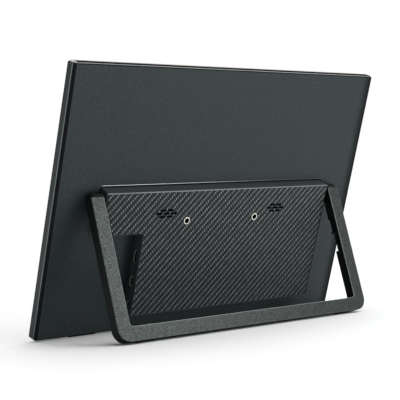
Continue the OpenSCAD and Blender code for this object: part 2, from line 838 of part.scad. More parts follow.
module mount_inserts() {
    color(BRASS) upright() for (p = insert_places) difference() {
        union() {
            peg(p, insert_d / 2, insert_y1 - insert_l, y_sheet + EPS);
            peg(p, insert_flange_d / 2, y_sheet, insert_y1);
        }
        peg(p, insert_bore_d / 2, insert_y1 - insert_l - EPS, insert_y1 + EPS);
    }
}

// --- electronics -----------------------------------------------------------------------------------

module main_board() {
    color(BOARD_GREEN) upright() difference() {
        block([board_x0, board_lift, board_z0], [board_x1, board_rear, board_z1]);
        for (p = board_holes) peg(p, sheet_screw_r, board_lift - EPS, board_rear + EPS);
    }
}

// Picture processor, memory, regulator, coils, capacitors, small parts and the cable's socket
module board_components() {
    cx = (board_x0 + board_x1) / 2;
    cz = (board_z0 + board_z1) / 2;
    module chip(x, z, w, h, t) {
        translate([cx + x - w / 2, board_rear, cz + z - h / 2]) cube([w, t, h]);
    }
    color("#202225") upright() {
        chip(-processor_in, 0, processor_w, processor_w, processor_t);
        chip(-memory_x, memory_z, memory_w, memory_h, chip_t);
        chip(regulator_x, regulator_z, regulator_w, regulator_h, chip_t);
        for (i = [-1, 0, 1]) chip(coil_x, i * coil_pitch - coil_drop, coil_w, coil_w, coil_t);
        for (i = [0 : capacitor_count - 1])
            peg([cx - capacitor_x, cz - capacitor_drop + capacitor_pitch * i], capacitor_r,
                board_rear, board_rear + capacitor_h);
        for (z = [-small_part_low, small_part_high], i = [0 : small_part_count - 1])
            chip(small_part_pitch * i - small_part_x, z, small_part_w, small_part_h, small_part_t);
        block([cable_x - cable_w / 2 - 1, board_rear, board_z1 - cable_socket_h - 1],
            [cable_x + cable_w / 2 + 1, board_rear + cable_socket_t, board_z1 - 1]);
    }
}

module board_screws() {
    color(STEEL) upright() for (p = board_holes) {
        peg(p, sheet_screw_r, -cover_t + 0.2, board_rear);
        peg(p, sheet_head_r, board_rear, board_rear + sheet_head_t);
    }
}

// Metal-shelled socket with round ends and a contact tongue
module oval_socket(z) {
    y = board_rear + oval_h / 2;
    color(STEEL) upright() {
        difference() {
            along_x(port_mouth_x - port_l, port_mouth_x) stadium([y, z], oval_w, oval_h, true);
            along_x(port_mouth_x - port_l + 1, port_mouth_x + EPS)
                stadium([y, z], oval_w - 2 * shell_t, oval_h - 2 * shell_t, true);
        }
        block([port_mouth_x - port_l + 1 - EPS, y - 0.35, z - oval_w / 2 + 1.5],
            [port_mouth_x - 0.8, y + 0.35, z + oval_w / 2 - 1.5]);
    }
}

module oval_port_lower() {
    oval_socket(port_z);
}

module oval_port_upper() {
    oval_socket(port_z + port_pitch);
}

// Flat metal-shelled socket whose front-side corners are cut back
module video_outline(shrink) {
    w = video_w / 2 - shrink;
    cut = 1.4;
    y0 = board_rear + shrink;
    y1 = board_rear + video_h - shrink;
    translate([0, port_z + 2 * port_pitch])
        polygon([[y0, cut - w], [y0, w - cut], [y0 + 1, w], [y1, w], [y1, -w], [y0 + 1, -w]]);
}

module video_port() {
    y = board_rear + video_h / 2 + 0.2;
    z = port_z + 2 * port_pitch;
    color(STEEL) upright() {
        difference() {
            along_x(port_mouth_x - port_l, port_mouth_x) video_outline(0);
            along_x(port_mouth_x - port_l + 1, port_mouth_x + EPS) video_outline(shell_t);
        }
        block([port_mouth_x - port_l + 1 - EPS, y - 0.4, z - video_w / 2 + 1.8],
            [port_mouth_x - 1, y + 0.4, z + video_w / 2 - 1.8]);
    }
}

// Flat speaker with a round cone well and an air channel behind the cone
module speaker(s) {
    p = [s * speaker_x, speaker_z];
    color("#26282a") upright() difference() {
        between(speaker_y, speaker_y + speaker_t) stadium(p, speaker_w, speaker_h);
        peg(p, cone_r, speaker_y + speaker_t - 1.8, speaker_y + speaker_t + EPS);
    }
}

module speaker_right() {
    speaker(1);
}

module speaker_left() {
    speaker(-1);
}

// Cone with a soft surround, seated on the floor of each speaker's well
module speaker_cones() {
    color("#3a3a3c") upright() for (s = SIDES)
        translate([s * speaker_x, speaker_y + speaker_t - 1.8, speaker_z]) rotate([-90, 0, 0])
            rotate_extrude() polygon([[0, 0], [cone_r, 0], [cone_r, 0.9], [cone_r - 1.2, 1.3],
                [cone_r - 2, 0.8], [1.8, 0.5], [0, 1.1]]);
}

module speaker_gaskets() {
    color(FOAM) upright() for (s = SIDES) between(speaker_y + speaker_t, y_roof) difference() {
        stadium([s * speaker_x, speaker_z], speaker_w - 1, speaker_h - 1);
        stadium([s * speaker_x, speaker_z], speaker_w - 6, speaker_h - 4);
    }
}

module speaker_pads() {
    color(FOAM) upright() for (s = SIDES, t = SIDES)
        block([s * speaker_x + t * speaker_w / 4 - 2.5, 0, speaker_z - speaker_h / 3],
            [s * speaker_x + t * speaker_w / 4 + 2.5, speaker_y, speaker_z + speaker_h / 3]);
}

// Flat twin leads from each speaker to the main board's underside
module speaker_leads() {
    lead_w = 2;
    board_reach = 4;
    low_z = board_z1 - board_reach;
    turn_z = (board_z1 + insert_z - insert_boss_r) / 2;
    high_z = speaker_z - speaker_h / 2;
    color("#6b1f1f") upright() {
        for (s = SIDES) {
            x = s * speaker_x - lead_w / 2;
            end_x = s > 0 ? speaker_x - lead_w / 2 : board_x0 + board_hole_in + 4;
            x0 = min(x, end_x);
            x1 = max(x, end_x) + lead_w;
            block([x, 0, turn_z], [x + lead_w, board_lift, high_z + 3]);
            block([x, 0, high_z + 1], [x + lead_w, speaker_y, high_z + 3]);
            block([x0, 0, turn_z - lead_w / 2], [x1, board_lift, turn_z + lead_w / 2]);
            block([end_x, 0, low_z], [end_x + lead_w, board_lift, turn_z]);
        }
    }
}

// Flat cable from the main board, through the rear cover and the chassis, down to the driver board
module display_cable() {
    x0 = cable_x - cable_w / 2;
    x1 = cable_x + cable_w / 2;
    y_top = board_rear + cable_socket_t / 2;
    low_z = driver_z + driver_h;
    color("#c9a04a") upright() {
        block([x0, y_top, board_z1 - 1], [x1, y_top + cable_t, cable_z + cable_t]);
        block([x0, cable_y, cable_z], [x1, y_top + cable_t, cable_z + cable_t]);
        block([x0, cable_y, low_z], [x1, cable_y + cable_t, cable_z + cable_t]);
    }
}

// --- controls on the left side ----------------------------------------------------------------------

// Small board with three side-facing push switches
module button_board() {
    module switch(x, z) {
        translate([-x, button_board_rear - EPS, z - switch_w / 2])
            cube([switch_l, switch_t + EPS, switch_w]);
    }
    color(BOARD_GREEN) upright() difference() {
        union() {
            block([-button_board_x, button_board_lift, button_board_z0],
                [-button_board_x + button_board_w, button_board_rear, button_board_z1]);
            switch(power_switch_x, power_z);
            for (s = SIDES) switch(rocker_switch_x, rocker_z + s * (rocker_base_l - switch_w) / 2);
        }
        rod(stem_d / 2 + running, -power_switch_x - EPS, -power_switch_x + 1.2, control_y, power_z);
        for (p = button_board_holes)
            peg(p, sheet_screw_r, button_board_lift - EPS, button_board_rear + EPS);
    }
}

module button_board_screws() {
    color(STEEL) upright() for (p = button_board_holes) {
        peg(p, sheet_screw_r, -cover_t + 0.2, button_board_rear);
        peg(p, sheet_head_r, button_board_rear, button_board_rear + sheet_head_t);
    }
}

// Flat cable between the two boards
module button_cable() {
    h = 5;
    z = board_z1 - board_hole_in - sheet_head_r - clearance - h;
    edge = -button_board_x + button_board_w;
    color("#c9a04a") upright() {
        block([edge, board_rear, z], [board_x0 + 3, board_rear + cable_t, z + h]);
        block([edge, board_rear, z], [edge + cable_t, button_board_rear + cable_t, z + h]);
        block([edge - 2, button_board_rear, z], [edge + cable_t, button_board_rear + cable_t, z + h]);
    }
}

// Cap, retaining flange and the stem that enters its switch
module power_button() {
    color("#2b2e30") upright() mirror([1, 0, 0]) {
        along_x(flange_x - flange_t, wall_x(control_y) + power_out)
            stadium([control_y, power_z], power_l, control_h, true);
        along_x(flange_x - flange_t, flange_x)
            stadium([control_y, power_z], power_l + 2 * flange_out, flange_h, true);
        rod(stem_d / 2, power_switch_x - 0.6, flange_x - flange_t + EPS, control_y, power_z);
    }
}

// X-Z outline of the rocker's paddle, with its outer corners rounded
module paddle_outline() {
    r = 1.4;
    w = rocker_tip_x - rocker_x;
    translate([rocker_x, rocker_z - rocker_l / 2 + r]) square([w, rocker_l - 2 * r]);
    translate([rocker_x, rocker_z - rocker_l / 2]) square([w - r, rocker_l]);
    for (s = SIDES) translate([rocker_tip_x - r, rocker_z + s * (rocker_l / 2 - r)]) circle(r);
}

// Paddle on a hub, with two feet that face the switches
module menu_rocker() {
    y0 = control_y - control_h / 2;
    y1 = control_y + control_h / 2;
    color("#2b2e30") upright() mirror([1, 0, 0]) difference() {
        union() {
            intersection() {
                between(y0, y1) paddle_outline();
                along_x(rocker_x, rocker_tip_x + 1)
                    stadium([control_y, rocker_z], rocker_l, control_h, true);
            }
            between(y0, y1) {
                translate([rocker_base_x, rocker_z - rocker_base_l / 2])
                    square([2 * (rocker_x - rocker_base_x), rocker_base_l]);
                translate([rocker_x, rocker_z]) circle(rocker_hub_d / 2);
            }
        }
        peg([rocker_x, rocker_z], rocker_pin_d / 2 + running, y0 - EPS, y1 + EPS);
    }
}

module rocker_pin() {
    color(STEEL) upright() peg([-rocker_x, rocker_z], rocker_pin_d / 2, button_board_rear, y_roof);
}

// --- hinges -----------------------------------------------------------------------------------------

// Steel angle screwed through the rear cover to the chassis, with a bored ear for the pin
module hinge_bracket(s) {
    z1 = pivot_z + ear_r;
    color(STEEL) upright() mirror([s > 0 ? 0 : 1, 0, 0]) difference() {
        union() {
            block([ear_x1 - bracket_l, 0, z1 - bracket_h], [ear_x1, bracket_t, z1]);
            block([ear_x0, 0, pivot_z - ear_r], [ear_x1, pivot_y, z1]);
            rod(ear_r, ear_x0, ear_x1, pivot_y, pivot_z);
        }
        rod(pin_d / 2 + running, ear_x0 - EPS, ear_x1 + EPS, pivot_y, pivot_z);
        for (d = [9, 21]) peg([ear_x0 - d, pivot_z - 3.6], screw_r, -EPS, bracket_t + EPS);
    }
}

module hinge_bracket_right() {
    hinge_bracket(1);
}

module hinge_bracket_left() {
    hinge_bracket(-1);
}

module hinge_screws() {
    color(STEEL) upright() for (p = bracket_holes) {
        peg(p, screw_r, y_chassis, bracket_t);
        peg(p, screw_head_r, bracket_t, bracket_t + screw_head_t);
    }
}

// Ring on the hinge axis, in the upright layout
module ring(r, bore_r, x0, x1) {
    difference() {
        rod(r, x0, x1, pivot_y, pivot_z);
        rod(bore_r, x0 - EPS, x1 + EPS, pivot_y, pivot_z);
    }
}

module friction_washers() {
    color(BRASS) upright() both_sides() ring(washer_r, pin_d / 2 + running, ear_x0 - washer_t, ear_x0);
}

module spring_washers() {
    color("#7d8082") upright() both_sides() {
        ring(washer_r, pin_d / 2, spring_x - spring_t, spring_x);
        ring(washer_r - 0.3, pin_d / 2, spring_x - 2 * spring_t, spring_x - spring_t);
    }
}

module hinge_nuts() {
    color(STEEL) upright() both_sides() difference() {
        translate([nut_x - nut_t, pivot_y, pivot_z]) rotate([0, 90, 0])
            cylinder(r = nut_r, h = nut_t, $fn = 6);
        rod(pin_d / 2, nut_x - nut_t - EPS, nut_x + EPS, pivot_y, pivot_z);
    }
}

// Turned pin: thin end in the bracket, shoulder through the side wall, spigot in the leg
module hinge_pin(s) {
    color(STEEL) swung() mirror([s > 0 ? 0 : 1, 0, 0]) {
        rod(pin_d / 2, pin_x0, ear_x1 + turn_gap);
        rod(shoulder_d / 2, ear_x1 + turn_gap, stand_x0);
        rod(spigot_d / 2, stand_x0, stand_x0 + spigot_l);
    }
}

module hinge_pin_right() {
    hinge_pin(1);
}

module hinge_pin_left() {
    hinge_pin(-1);
}

// --- stand ------------------------------------------------------------------------------------------

// U outline in X-Z, legs ending on the hinge axis
module stand_outline() {
    difference() {
        union() {
            translate([-stand_x1, stand_r - leg_l]) square([2 * stand_x1, leg_l - stand_r]);
            translate([-stand_x1 + stand_r, -leg_l]) square([2 * (stand_x1 - stand_r), 2 * stand_r]);
            for (s = SIDES) translate([s * (stand_x1 - stand_r), stand_r - leg_l]) circle(stand_r);
        }
        translate([-stand_x0, bar_w + stand_inner_r - leg_l]) square([2 * stand_x0, leg_l]);
        translate([-stand_x0 + stand_inner_r, bar_w - leg_l])
            square([2 * (stand_x0 - stand_inner_r), 2 * stand_inner_r]);
        for (s = SIDES) translate([s * (stand_x0 - stand_inner_r), bar_w + stand_inner_r - leg_l])
            circle(stand_inner_r);
    }
}

// Round end of a leg, with its outer edge rounded over
module knuckle() {
    translate([stand_x0, 0, 0]) rotate([0, 90, 0]) rotate_extrude() {
        square([leg_t / 2, leg_w - knuckle_round]);
        square([leg_t / 2 - knuckle_round, leg_w]);
        translate([leg_t / 2 - knuckle_round, leg_w - knuckle_round]) intersection() {
            circle(knuckle_round);
            square(knuckle_round);
        }
    }
}

// Relief in the left leg's inner side, open towards the slab, over one control
module leg_relief(z, l, depth) {
    half = l / 2 + control_room;
    mid = z - pivot_z;
    block([-stand_x0 - depth, -leg_t, mid - half], [-stand_x0 + 1, leg_t / 2 - pocket_web, mid + half]);
}

module bar_feet_profile() {
    foot_profile(bar_foot_y, bar_foot_z, -leg_l);
}

module stand_frame() {
    color(SOFT_BLACK) swung() difference() {
        union() {
            between(-leg_t / 2, leg_t / 2) stand_outline();
            both_sides() knuckle();
        }
        block([-stand_x1 - 1, leg_t / 2 - face_t, -leg_l - 1], [stand_x1 + 1, leg_t, 0]);
        both_sides() rod(spigot_d / 2, stand_x0 - EPS, stand_x0 + spigot_l);
        both_sides() along_x(bar_foot_x - bar_foot_l / 2, bar_foot_x + bar_foot_l / 2) bar_feet_profile();
        leg_relief(power_z, power_l, power_out + 0.5);
        leg_relief(rocker_z, rocker_l, rocker_out + 0.8);
    }
}

module stand_face() {
    color(STAND_GREY) swung() between(leg_t / 2 - face_t, leg_t / 2) stand_outline();
}

module stand_feet() {
    color("#151515") swung() both_sides()
        along_x(bar_foot_x - bar_foot_l / 2, bar_foot_x + bar_foot_l / 2) bar_feet_profile();
}

front_bezel();
bezel_tape();
lcd_cell();
optical_films();
light_guide();
led_strip();
backlight_tray();
panel_driver_board();
panel_pads();
mid_frame();
chassis_plate();
chassis_screws();
rear_cover();
slab_feet();
housing_cover();
patterned_sheet();
housing_screws();
mount_inserts();
main_board();
board_components();
board_screws();
video_port();
oval_port_upper();
oval_port_lower();
speaker_right();
speaker_left();
speaker_cones();
speaker_gaskets();
speaker_pads();
speaker_leads();
button_board();
button_board_screws();
button_cable();
display_cable();
power_button();
menu_rocker();
rocker_pin();
hinge_bracket_right();
hinge_bracket_left();
hinge_screws();
friction_washers();
spring_washers();
hinge_nuts();
hinge_pin_right();
hinge_pin_left();
stand_frame();
stand_face();
stand_feet();
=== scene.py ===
"""Finishes, fine shapes and studio for a portable monitor with a fold-out stand.

Lengths in names that end in _mm are in millimetres, and everything handed to Blender is in metres.
Finishes are laid out in millimetres too: on the display as it stands upright, or along the stand's legs.
"""

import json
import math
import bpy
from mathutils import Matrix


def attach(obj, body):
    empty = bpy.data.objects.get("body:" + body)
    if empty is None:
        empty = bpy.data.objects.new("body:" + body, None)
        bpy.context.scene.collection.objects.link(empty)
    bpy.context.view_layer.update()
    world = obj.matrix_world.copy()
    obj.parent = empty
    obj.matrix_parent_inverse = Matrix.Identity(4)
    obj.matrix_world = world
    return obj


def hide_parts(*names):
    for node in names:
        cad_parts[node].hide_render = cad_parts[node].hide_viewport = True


bl_info = {
    "name": "Portable monitor with stand",
    "version": (1, 0, 0),
    "blender": (4, 5, 0),
    "location": "View3D > Sidebar > Monitor",
    "description": "Dresses the packed monitor in its finishes and sets up a plain studio",
    "category": "Object",
}

import bmesh
import bpy
from bpy.props import FloatProperty, FloatVectorProperty, PointerProperty
from bpy.types import Operator, Panel, PropertyGroup
from mathutils import Euler, Matrix, Vector

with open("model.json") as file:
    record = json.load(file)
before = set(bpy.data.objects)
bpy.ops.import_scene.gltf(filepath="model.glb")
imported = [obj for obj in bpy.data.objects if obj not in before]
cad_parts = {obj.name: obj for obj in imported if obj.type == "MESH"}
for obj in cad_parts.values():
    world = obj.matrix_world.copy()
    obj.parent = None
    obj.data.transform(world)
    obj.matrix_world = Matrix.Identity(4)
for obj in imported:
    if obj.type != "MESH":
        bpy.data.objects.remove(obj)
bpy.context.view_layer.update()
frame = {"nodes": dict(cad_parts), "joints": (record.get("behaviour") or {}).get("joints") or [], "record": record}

MM = 0.001
MOUNTS = {mount["name"]: mount for mount in frame["record"]["mounts"]}
HINGE = next(joint for joint in frame["joints"] if joint["name"] == "stand_hinge")

# The display is laid out upright and leans back about the X axis; the stand is laid out along its legs.
# A layout is its origin and its turn about that axis.
REAR_AXIS = Vector(MOUNTS["rear_flat"]["axis"])
LEAN = math.atan2(-REAR_AXIS.z, REAR_AXIS.y)
OPENING = math.radians(-HINGE["range_deg"][0])
PIVOT = Vector(HINGE["pos_m"])
PIVOT_UPRIGHT_MM = (0, 4.8, 116.3)
DISPLAY_TURN = Matrix.Rotation(-LEAN, 3, "X")
DISPLAY_ORIGIN = PIVOT - DISPLAY_TURN @ (Vector(PIVOT_UPRIGHT_MM) * MM)
UPRIGHT = (DISPLAY_ORIGIN, -LEAN)
ALONG_STAND = (PIVOT, OPENING - LEAN)

# The slab and the screen's window
SLAB_MM = (325.0, 220.0)
EDGE_BAND_MM = 2.0
FRAME_DEPTHS_MM = (-9.0, -2.2)
PANEL_HALF_MM = 161.0
WINDOW_MM = (312.2, 195.0)
WINDOW_BOTTOM_MM = 18.0
WINDOW_RIM_MM = 1.4

# The light guide's printed dots and the strip of lamps along its lower edge
DOT_PITCH_MM = 1.2
DOTS_FROM_MM = 10.0
DOTS_TO_MM = 216.0
LAMP_STRIP_MM = 317.4
LAMP_COUNT = 36
LAMPS_ABOVE_MM = 11.15
SOLDER_BELOW_MM = 11.1
SOLDER_MIDDLE_MM = 10.75

# The housing: its foot, its face, its notch, and the groove and trim in the cover round it
FOOT_HALF_MM = 122.6
FOOT_LOW_MM = 16.2
FOOT_HIGH_MM = 123.4
FOOT_CORNER_MM = 3.0
CORNER_STEPS = 12
FACE_HALF_MM = 121.5
CHAMFER_ABOVE_MM = 9.0
SHEET_Y_MM = 9.8
RECESS_Y_MM = 9.4
NOTCH_TOP_MM = 86.8
PORT_WALL_X_MM = 80.3
GROOVE_MM = 1.0
GROOVE_FLOOR_MM = -1.0
TRIM_GAP_MM = 0.05
TRIM_WIDTH_MM = 0.55
TRIM_HEIGHT_MM = 0.25
TRIM_STEPS = 8

# The speakers' grilles: their middle, their slots, and the part of the housing that they take up
SPEAKER_X_MM = 60.2
SPEAKER_Z_MM = 102.9
SLOT_MM = (5.6, 1.4)
SLOT_PITCH_MM = 7.3
SLOT_ROW_MM = 2.7
GRILLE_X_MM = (48.0, 73.0)
GRILLE_Z_MM = (97.0, 109.0)

# The inserts: an M4 thread in a flanged, knurled body
INSERT_PLACES_MM = ((37.5, 95.7), (-37.5, 95.7))
INSERT_BODY_R_MM = 2.78
INSERT_FLANGE_R_MM = 3.1
INSERT_FLANGE_T_MM = 0.5
INSERT_LENGTH_MM = 7.4
INSERT_MOUTH_MM = 9.9
INSERT_SPOKES = 64
KNURL_MM = 0.07
THREAD_CREST_R_MM = 1.65
THREAD_ROOT_R_MM = 2.0
THREAD_PITCH_MM = 0.7
RINGS_PER_TURN = 10

# The sockets on the notch's wall, their tongues' middles, and how far in the contacts reach
BOARD_REAR_MM = 2.2
SOCKET_MOUTH_X_MM = 80.0
SOCKET_LENGTH_MM = 7.5
OVAL_Z_MM = (23.8, 44.8)
OVAL_Y_MM = BOARD_REAR_MM + 1.65
VIDEO_Z_MM = 65.8
VIDEO_Y_MM = BOARD_REAR_MM + 1.8
CONTACT_BACK_X_MM = SOCKET_MOUTH_X_MM - SOCKET_LENGTH_MM + 1.2
LONG_CONTACT_X_MM = SOCKET_MOUTH_X_MM - 1.25
SHORT_CONTACT_X_MM = SOCKET_MOUTH_X_MM - 1.55
VIDEO_CONTACT_X_MM = SOCKET_MOUTH_X_MM - 1.6
LONG_CONTACTS = (0, 3, 8, 11)

# Contacts: their number, pitch, half width, their tongue's half thickness, and how proud they stand of it
OVAL_CONTACTS_MM = (12, 0.5, 0.13, 0.35, 0.03)
VIDEO_CONTACTS_MM = (10, 0.7, 0.16, 0.4, 0.04)
VIDEO_SHIFT_MM = 0.35

# The main board's parts, told apart by where they stand and how far they rise
COILS_FROM_X_MM = 45.0
COIL_X_MM = 51.45
COIL_PITCH_MM = 16.0
COIL_LIFT_MM = 1.6
CAN_LIFT_MM = 3.05
LEG_LIFT_MM = 0.35
CABLE_X_MM = 24.45
CABLE_HALF_MM = 14.0
CABLE_FROM_Z_MM = 70.0
HOLE_PITCH_MM = 2.54
PAD_ROW_Z_MM = 22.5

# The opening between the stand's legs, from its hinge
INNER_HALF_MM = 123.5
INNER_LOW_MM = -100.9
INNER_CORNER_MM = 3.0

# The studio
CAMERA_AT = (0.65432, 0.74612, 0.11992)
CAMERA_TURN_DEG = (89.0965, 1.9554, 139.5227)
CAMERA_LENS_MM = 106.71
CAMERA_SENSOR_MM = 36.0
KEY_AT = (-0.343, 0.608, 0.337)
KEY_AIM = (0, 0.0, 0.1)
KEY_SIZE = 0.3
SKY_SPREAD_DEG = 70
SKY_TURN_DEG = (-12, -14, 0)
FLOOR_HALF = 60.0
FLOOR_CELLS = 8
BRIGHT_WAY = (-0.6, -0.75, 0.2)

# Linear colours and a gloss that more than one finish uses
DEEP_BLACK = (0.004, 0.0045, 0.005)
SOOT_BLACK = (0.005, 0.005, 0.005)
MATT_BLACK = (0.012, 0.012, 0.013)
RUBBER_BLACK = (0.014, 0.014, 0.015)
FOAM_GREY = (0.03, 0.03, 0.032)
SCREW_STEEL = (0.56, 0.56, 0.57)
MATT = 0.3

# Mesh making: edges sharper than these are shaded sharp or broken, and points this near are one
SHARP_FROM_DEG = 32
BROKEN_FROM_DEG = 34
FLAT_WITHIN_DEG = 0.5
WELD = 1e-6


def paint(red, green, blue):
    """A screen colour of 0 to 255 as the linear colour that Blender works in."""
    return tuple(
        value / 255 / 12.92 if value <= 10 else ((value / 255 + 0.055) / 1.055) ** 2.4
        for value in (red, green, blue)
    )


def times(colour, factor):
    """A colour that many times as bright, up to white."""
    return tuple(min(1.0, channel * factor) for channel in colour)


def leaned(x_mm, y_mm, z_mm):
    """A point of the display's upright layout, where it is on the leaning display."""
    return DISPLAY_ORIGIN + DISPLAY_TURN @ (Vector((x_mm, y_mm, z_mm)) * MM)


# ---- Settings


def length(name, description, default_mm, least_mm, most_mm):
    """A length that the user can change."""
    limits = {"default": default_mm * MM, "min": least_mm * MM, "max": most_mm * MM}
    return FloatProperty(name=name, description=description, unit="LENGTH", **limits)


def amount(name, description, default, most, unit="NONE"):
    """A number from 0 up that the user can change."""
    return FloatProperty(name=name, description=description, default=default, min=0.0, max=most, unit=unit)


def tint(name, description, colour):
    """A colour that the user can change."""
    limits = {"default": colour, "min": 0.0, "max": 1.0}
    return FloatVectorProperty(name=name, description=description, subtype="COLOR", **limits)


class MonitorSizes(PropertyGroup):
    """Sizes of the fine detail."""

    arris: length("Broken edge", "Width of the broken edges on the metal parts", 0.25, 0.0, 0.6)
    moulded_edge: length("Moulded edge", "Width of the softened edges on the moulded parts", 0.2, 0.0, 0.5)
    tow_width: length("Tow width", "Width of an upright tow of the twill", 1.5625, 0.5, 4.0)
    tow_height: length("Tow height", "Height of a level tow of the twill", 1.69, 0.5, 4.0)
    pixel_pitch: length("Pixel pitch", "Distance between the screen's pixels", 0.1626, 0.05, 0.5)


class MonitorColours(PropertyGroup):
    """Colours of the finishes."""

    cover: tint("Rear cover", "Satin paint of the slab's rear cover", paint(31, 40, 42))
    frame: tint("Frame", "Anodised metal of the slab's outer frame", paint(58, 62, 63))
    housing: tint("Housing", "Moulded housing of the electronics", paint(32, 36, 38))
    tow_light: tint("Light tow", "Upright tows of the twill, where they are bright", paint(132, 138, 139))
    tow_dark: tint("Dark tow", "Level tows of the twill", paint(6, 11, 14))
    stand_face: tint("Stand face", "Blasted metal face of the stand", paint(50, 55, 54))
    stand_frame: tint("Stand frame", "Matt black body of the stand", paint(13, 15, 16))
    brass: tint("Inserts", "Metal of the threaded inserts", paint(240, 243, 228))
    bezel: tint("Bezel", "Moulded bezel round the screen", paint(28, 29, 30))


class StudioSettings(PropertyGroup):
    """Light and floor of the studio."""

    key: amount("Key light", "Power of the soft light behind the monitor", 2.1, 200.0, "POWER")
    top: amount("Sky light", "Strength of the wide light overhead", 1.42, 10.0)
    room_bright: amount("Bright side", "Brightness of the room on its bright side", 1.0, 4.0)
    room_dim: amount("Dim side", "Brightness of the room on its dim side", 0.15, 4.0)
    floor: tint("Floor", "Colour of the floor", (0.965, 0.967, 0.97))


SETTINGS = {
    "monitor_sizes": MonitorSizes,
    "monitor_colours": MonitorColours,
    "monitor_studio": StudioSettings,
}


# ---- Shader maths


def operator(operation, reflected=False):
    """A method for one of Wire's operators. It adds a Math node of that operation."""

    def method(wire, other):
        return wire.math(operation, other, wire) if reflected else wire.math(operation, wire, other)

    return method


class Wire:
    """An output socket of a material. An expression on wires adds the Math nodes that it stands for."""

    def __init__(self, socket):
        self.socket = socket
        self.tree = socket.id_data

    def node(self, kind, settings=None, sockets=None, output=0):
        """Adds a node of that kind, with its settings made first and its sockets then set or linked."""
        added = self.tree.nodes.new(kind)
        for name, value in (settings or {}).items():
            setattr(added, name, value)
        for name, value in (sockets or {}).items():
            if isinstance(value, Wire):
                self.tree.links.new(value.socket, added.inputs[name])
            else:
                added.inputs[name].default_value = value
        return Wire(added.outputs[output])

    def math(self, operation, *values):
        """A Math node on the given values."""
        return self.node("ShaderNodeMath", {"operation": operation}, dict(enumerate(values)))

    __add__, __radd__ = operator("ADD"), operator("ADD", True)
    __sub__, __rsub__ = operator("SUBTRACT"), operator("SUBTRACT", True)
    __mul__, __rmul__ = operator("MULTIPLY"), operator("MULTIPLY", True)
    __truediv__, __rtruediv__ = operator("DIVIDE"), operator("DIVIDE", True)
    __mod__ = operator("FLOORED_MODULO")
    __pow__ = operator("POWER")
    __lt__ = operator("LESS_THAN")
    __gt__ = operator("GREATER_THAN")

    def __abs__(self):
        return self.math("ABSOLUTE", self)

    def __neg__(self):
        return self.math("MULTIPLY", self, -1.0)


def whole(wire):
    """The whole number below a value."""
    return wire.math("FLOOR", wire)


def part(wire):
    """The fraction of a value."""
    return wire.math("FRACT", wire)


def above_zero(wire):
    """A value where it is above 0, else 0."""
    return wire.math("MAXIMUM", wire, 0.0)


def both(first, second):
    """1 where both masks are 1."""
    return first * second


def either(first, second):
    """1 where either mask is 1."""
    return first.math("MAXIMUM", first, second)


def choose(mask, inside, outside):
    """The first number where the mask is 1 and the second where it is 0."""
    return mask * inside + (1.0 - mask) * outside


def smooth(wire, low, high):
    """Changes softly from 0 at low to 1 at high. Low may be the greater of the two."""
    sockets = {"Value": wire, "From Min": low, "From Max": high}
    return wire.node("ShaderNodeMapRange", {"interpolation_type": "SMOOTHSTEP"}, sockets)


def mix(factor, first, second):
    """A colour between first and second. Each is a colour or a wire."""
    first, second = [c if isinstance(c, Wire) else (*c[:3], 1.0) for c in (first, second)]
    return factor.node("ShaderNodeMix", {"data_type": "RGBA"}, {0: factor, 6: first, 7: second}, output=2)


def shade(factor, colour, low, high):
    """A colour that goes from low to high times itself."""
    return mix(factor, times(colour, low), times(colour, high))


def in_layout(place, layout):
    """Millimetres of a layout, from the place on a piece."""
    origin, turn = layout
    sockets = {"Vector": place, "Location": origin, "Rotation": (turn, 0, 0), "Scale": (MM, MM, MM)}
    return place.node("ShaderNodeMapping", {"vector_type": "TEXTURE"}, sockets)


def axes(vector):
    """The three numbers of a vector."""
    first = vector.node("ShaderNodeSeparateXYZ", {}, {"Vector": vector})
    return [Wire(output) for output in first.socket.node.outputs]


def point(x, y, z):
    """A vector from three numbers, of which x is a wire."""
    return x.node("ShaderNodeCombineXYZ", {}, {"X": x, "Y": y, "Z": z})


def noise(vector, size, detail=2.0, roughness=0.5):
    """Soft noise from 0 to 1, with grains of about that size."""
    sockets = {"Vector": vector, "Scale": 1.0 / size, "Detail": detail, "Roughness": roughness}
    return vector.node("ShaderNodeTexNoise", {}, sockets)


def streaks(vector, x, y, z, detail=2.0, roughness=0.5):
    """Noise with a fineness of its own along each axis, so that a low one draws it out into streaks."""
    scaled = vector.node("ShaderNodeVectorMath", {"operation": "MULTIPLY"}, {0: vector, 1: (x, y, z)})
    return noise(scaled, 1.0, detail, roughness)


def grains(vector, size):
    """Distance within packed grains of about that size."""
    return vector.node("ShaderNodeTexVoronoi", {"feature": "F1"}, {"Vector": vector, "Scale": 1.0 / size})


def chance(vector):
    """A number from 0 to 1 for each whole vector."""
    return vector.node("ShaderNodeTexWhiteNoise", {"noise_dimensions": "3D"}, {"Vector": vector})


def stripes(value, pitch, share):
    """1 on stripes that take that share of each pitch, 0 between them."""
    return part(value / pitch) < share


def ring(distance, low, high):
    """1 where a distance lies between low and high."""
    return both(distance > low, distance < high)


def reach(first, second):
    """Length of the vector of two numbers."""
    return (first * first + second * second) ** 0.5


def new_finish(name, layout=UPRIGHT):
    """An empty material and the place on its piece: in a layout's millimetres, or in metres without one."""
    material = bpy.data.materials.new(name)
    material.use_nodes = True
    nodes = material.node_tree.nodes
    nodes.clear()
    place = Wire(nodes.new("ShaderNodeTexCoord").outputs["Object"])
    return material, in_layout(place, layout) if layout else place


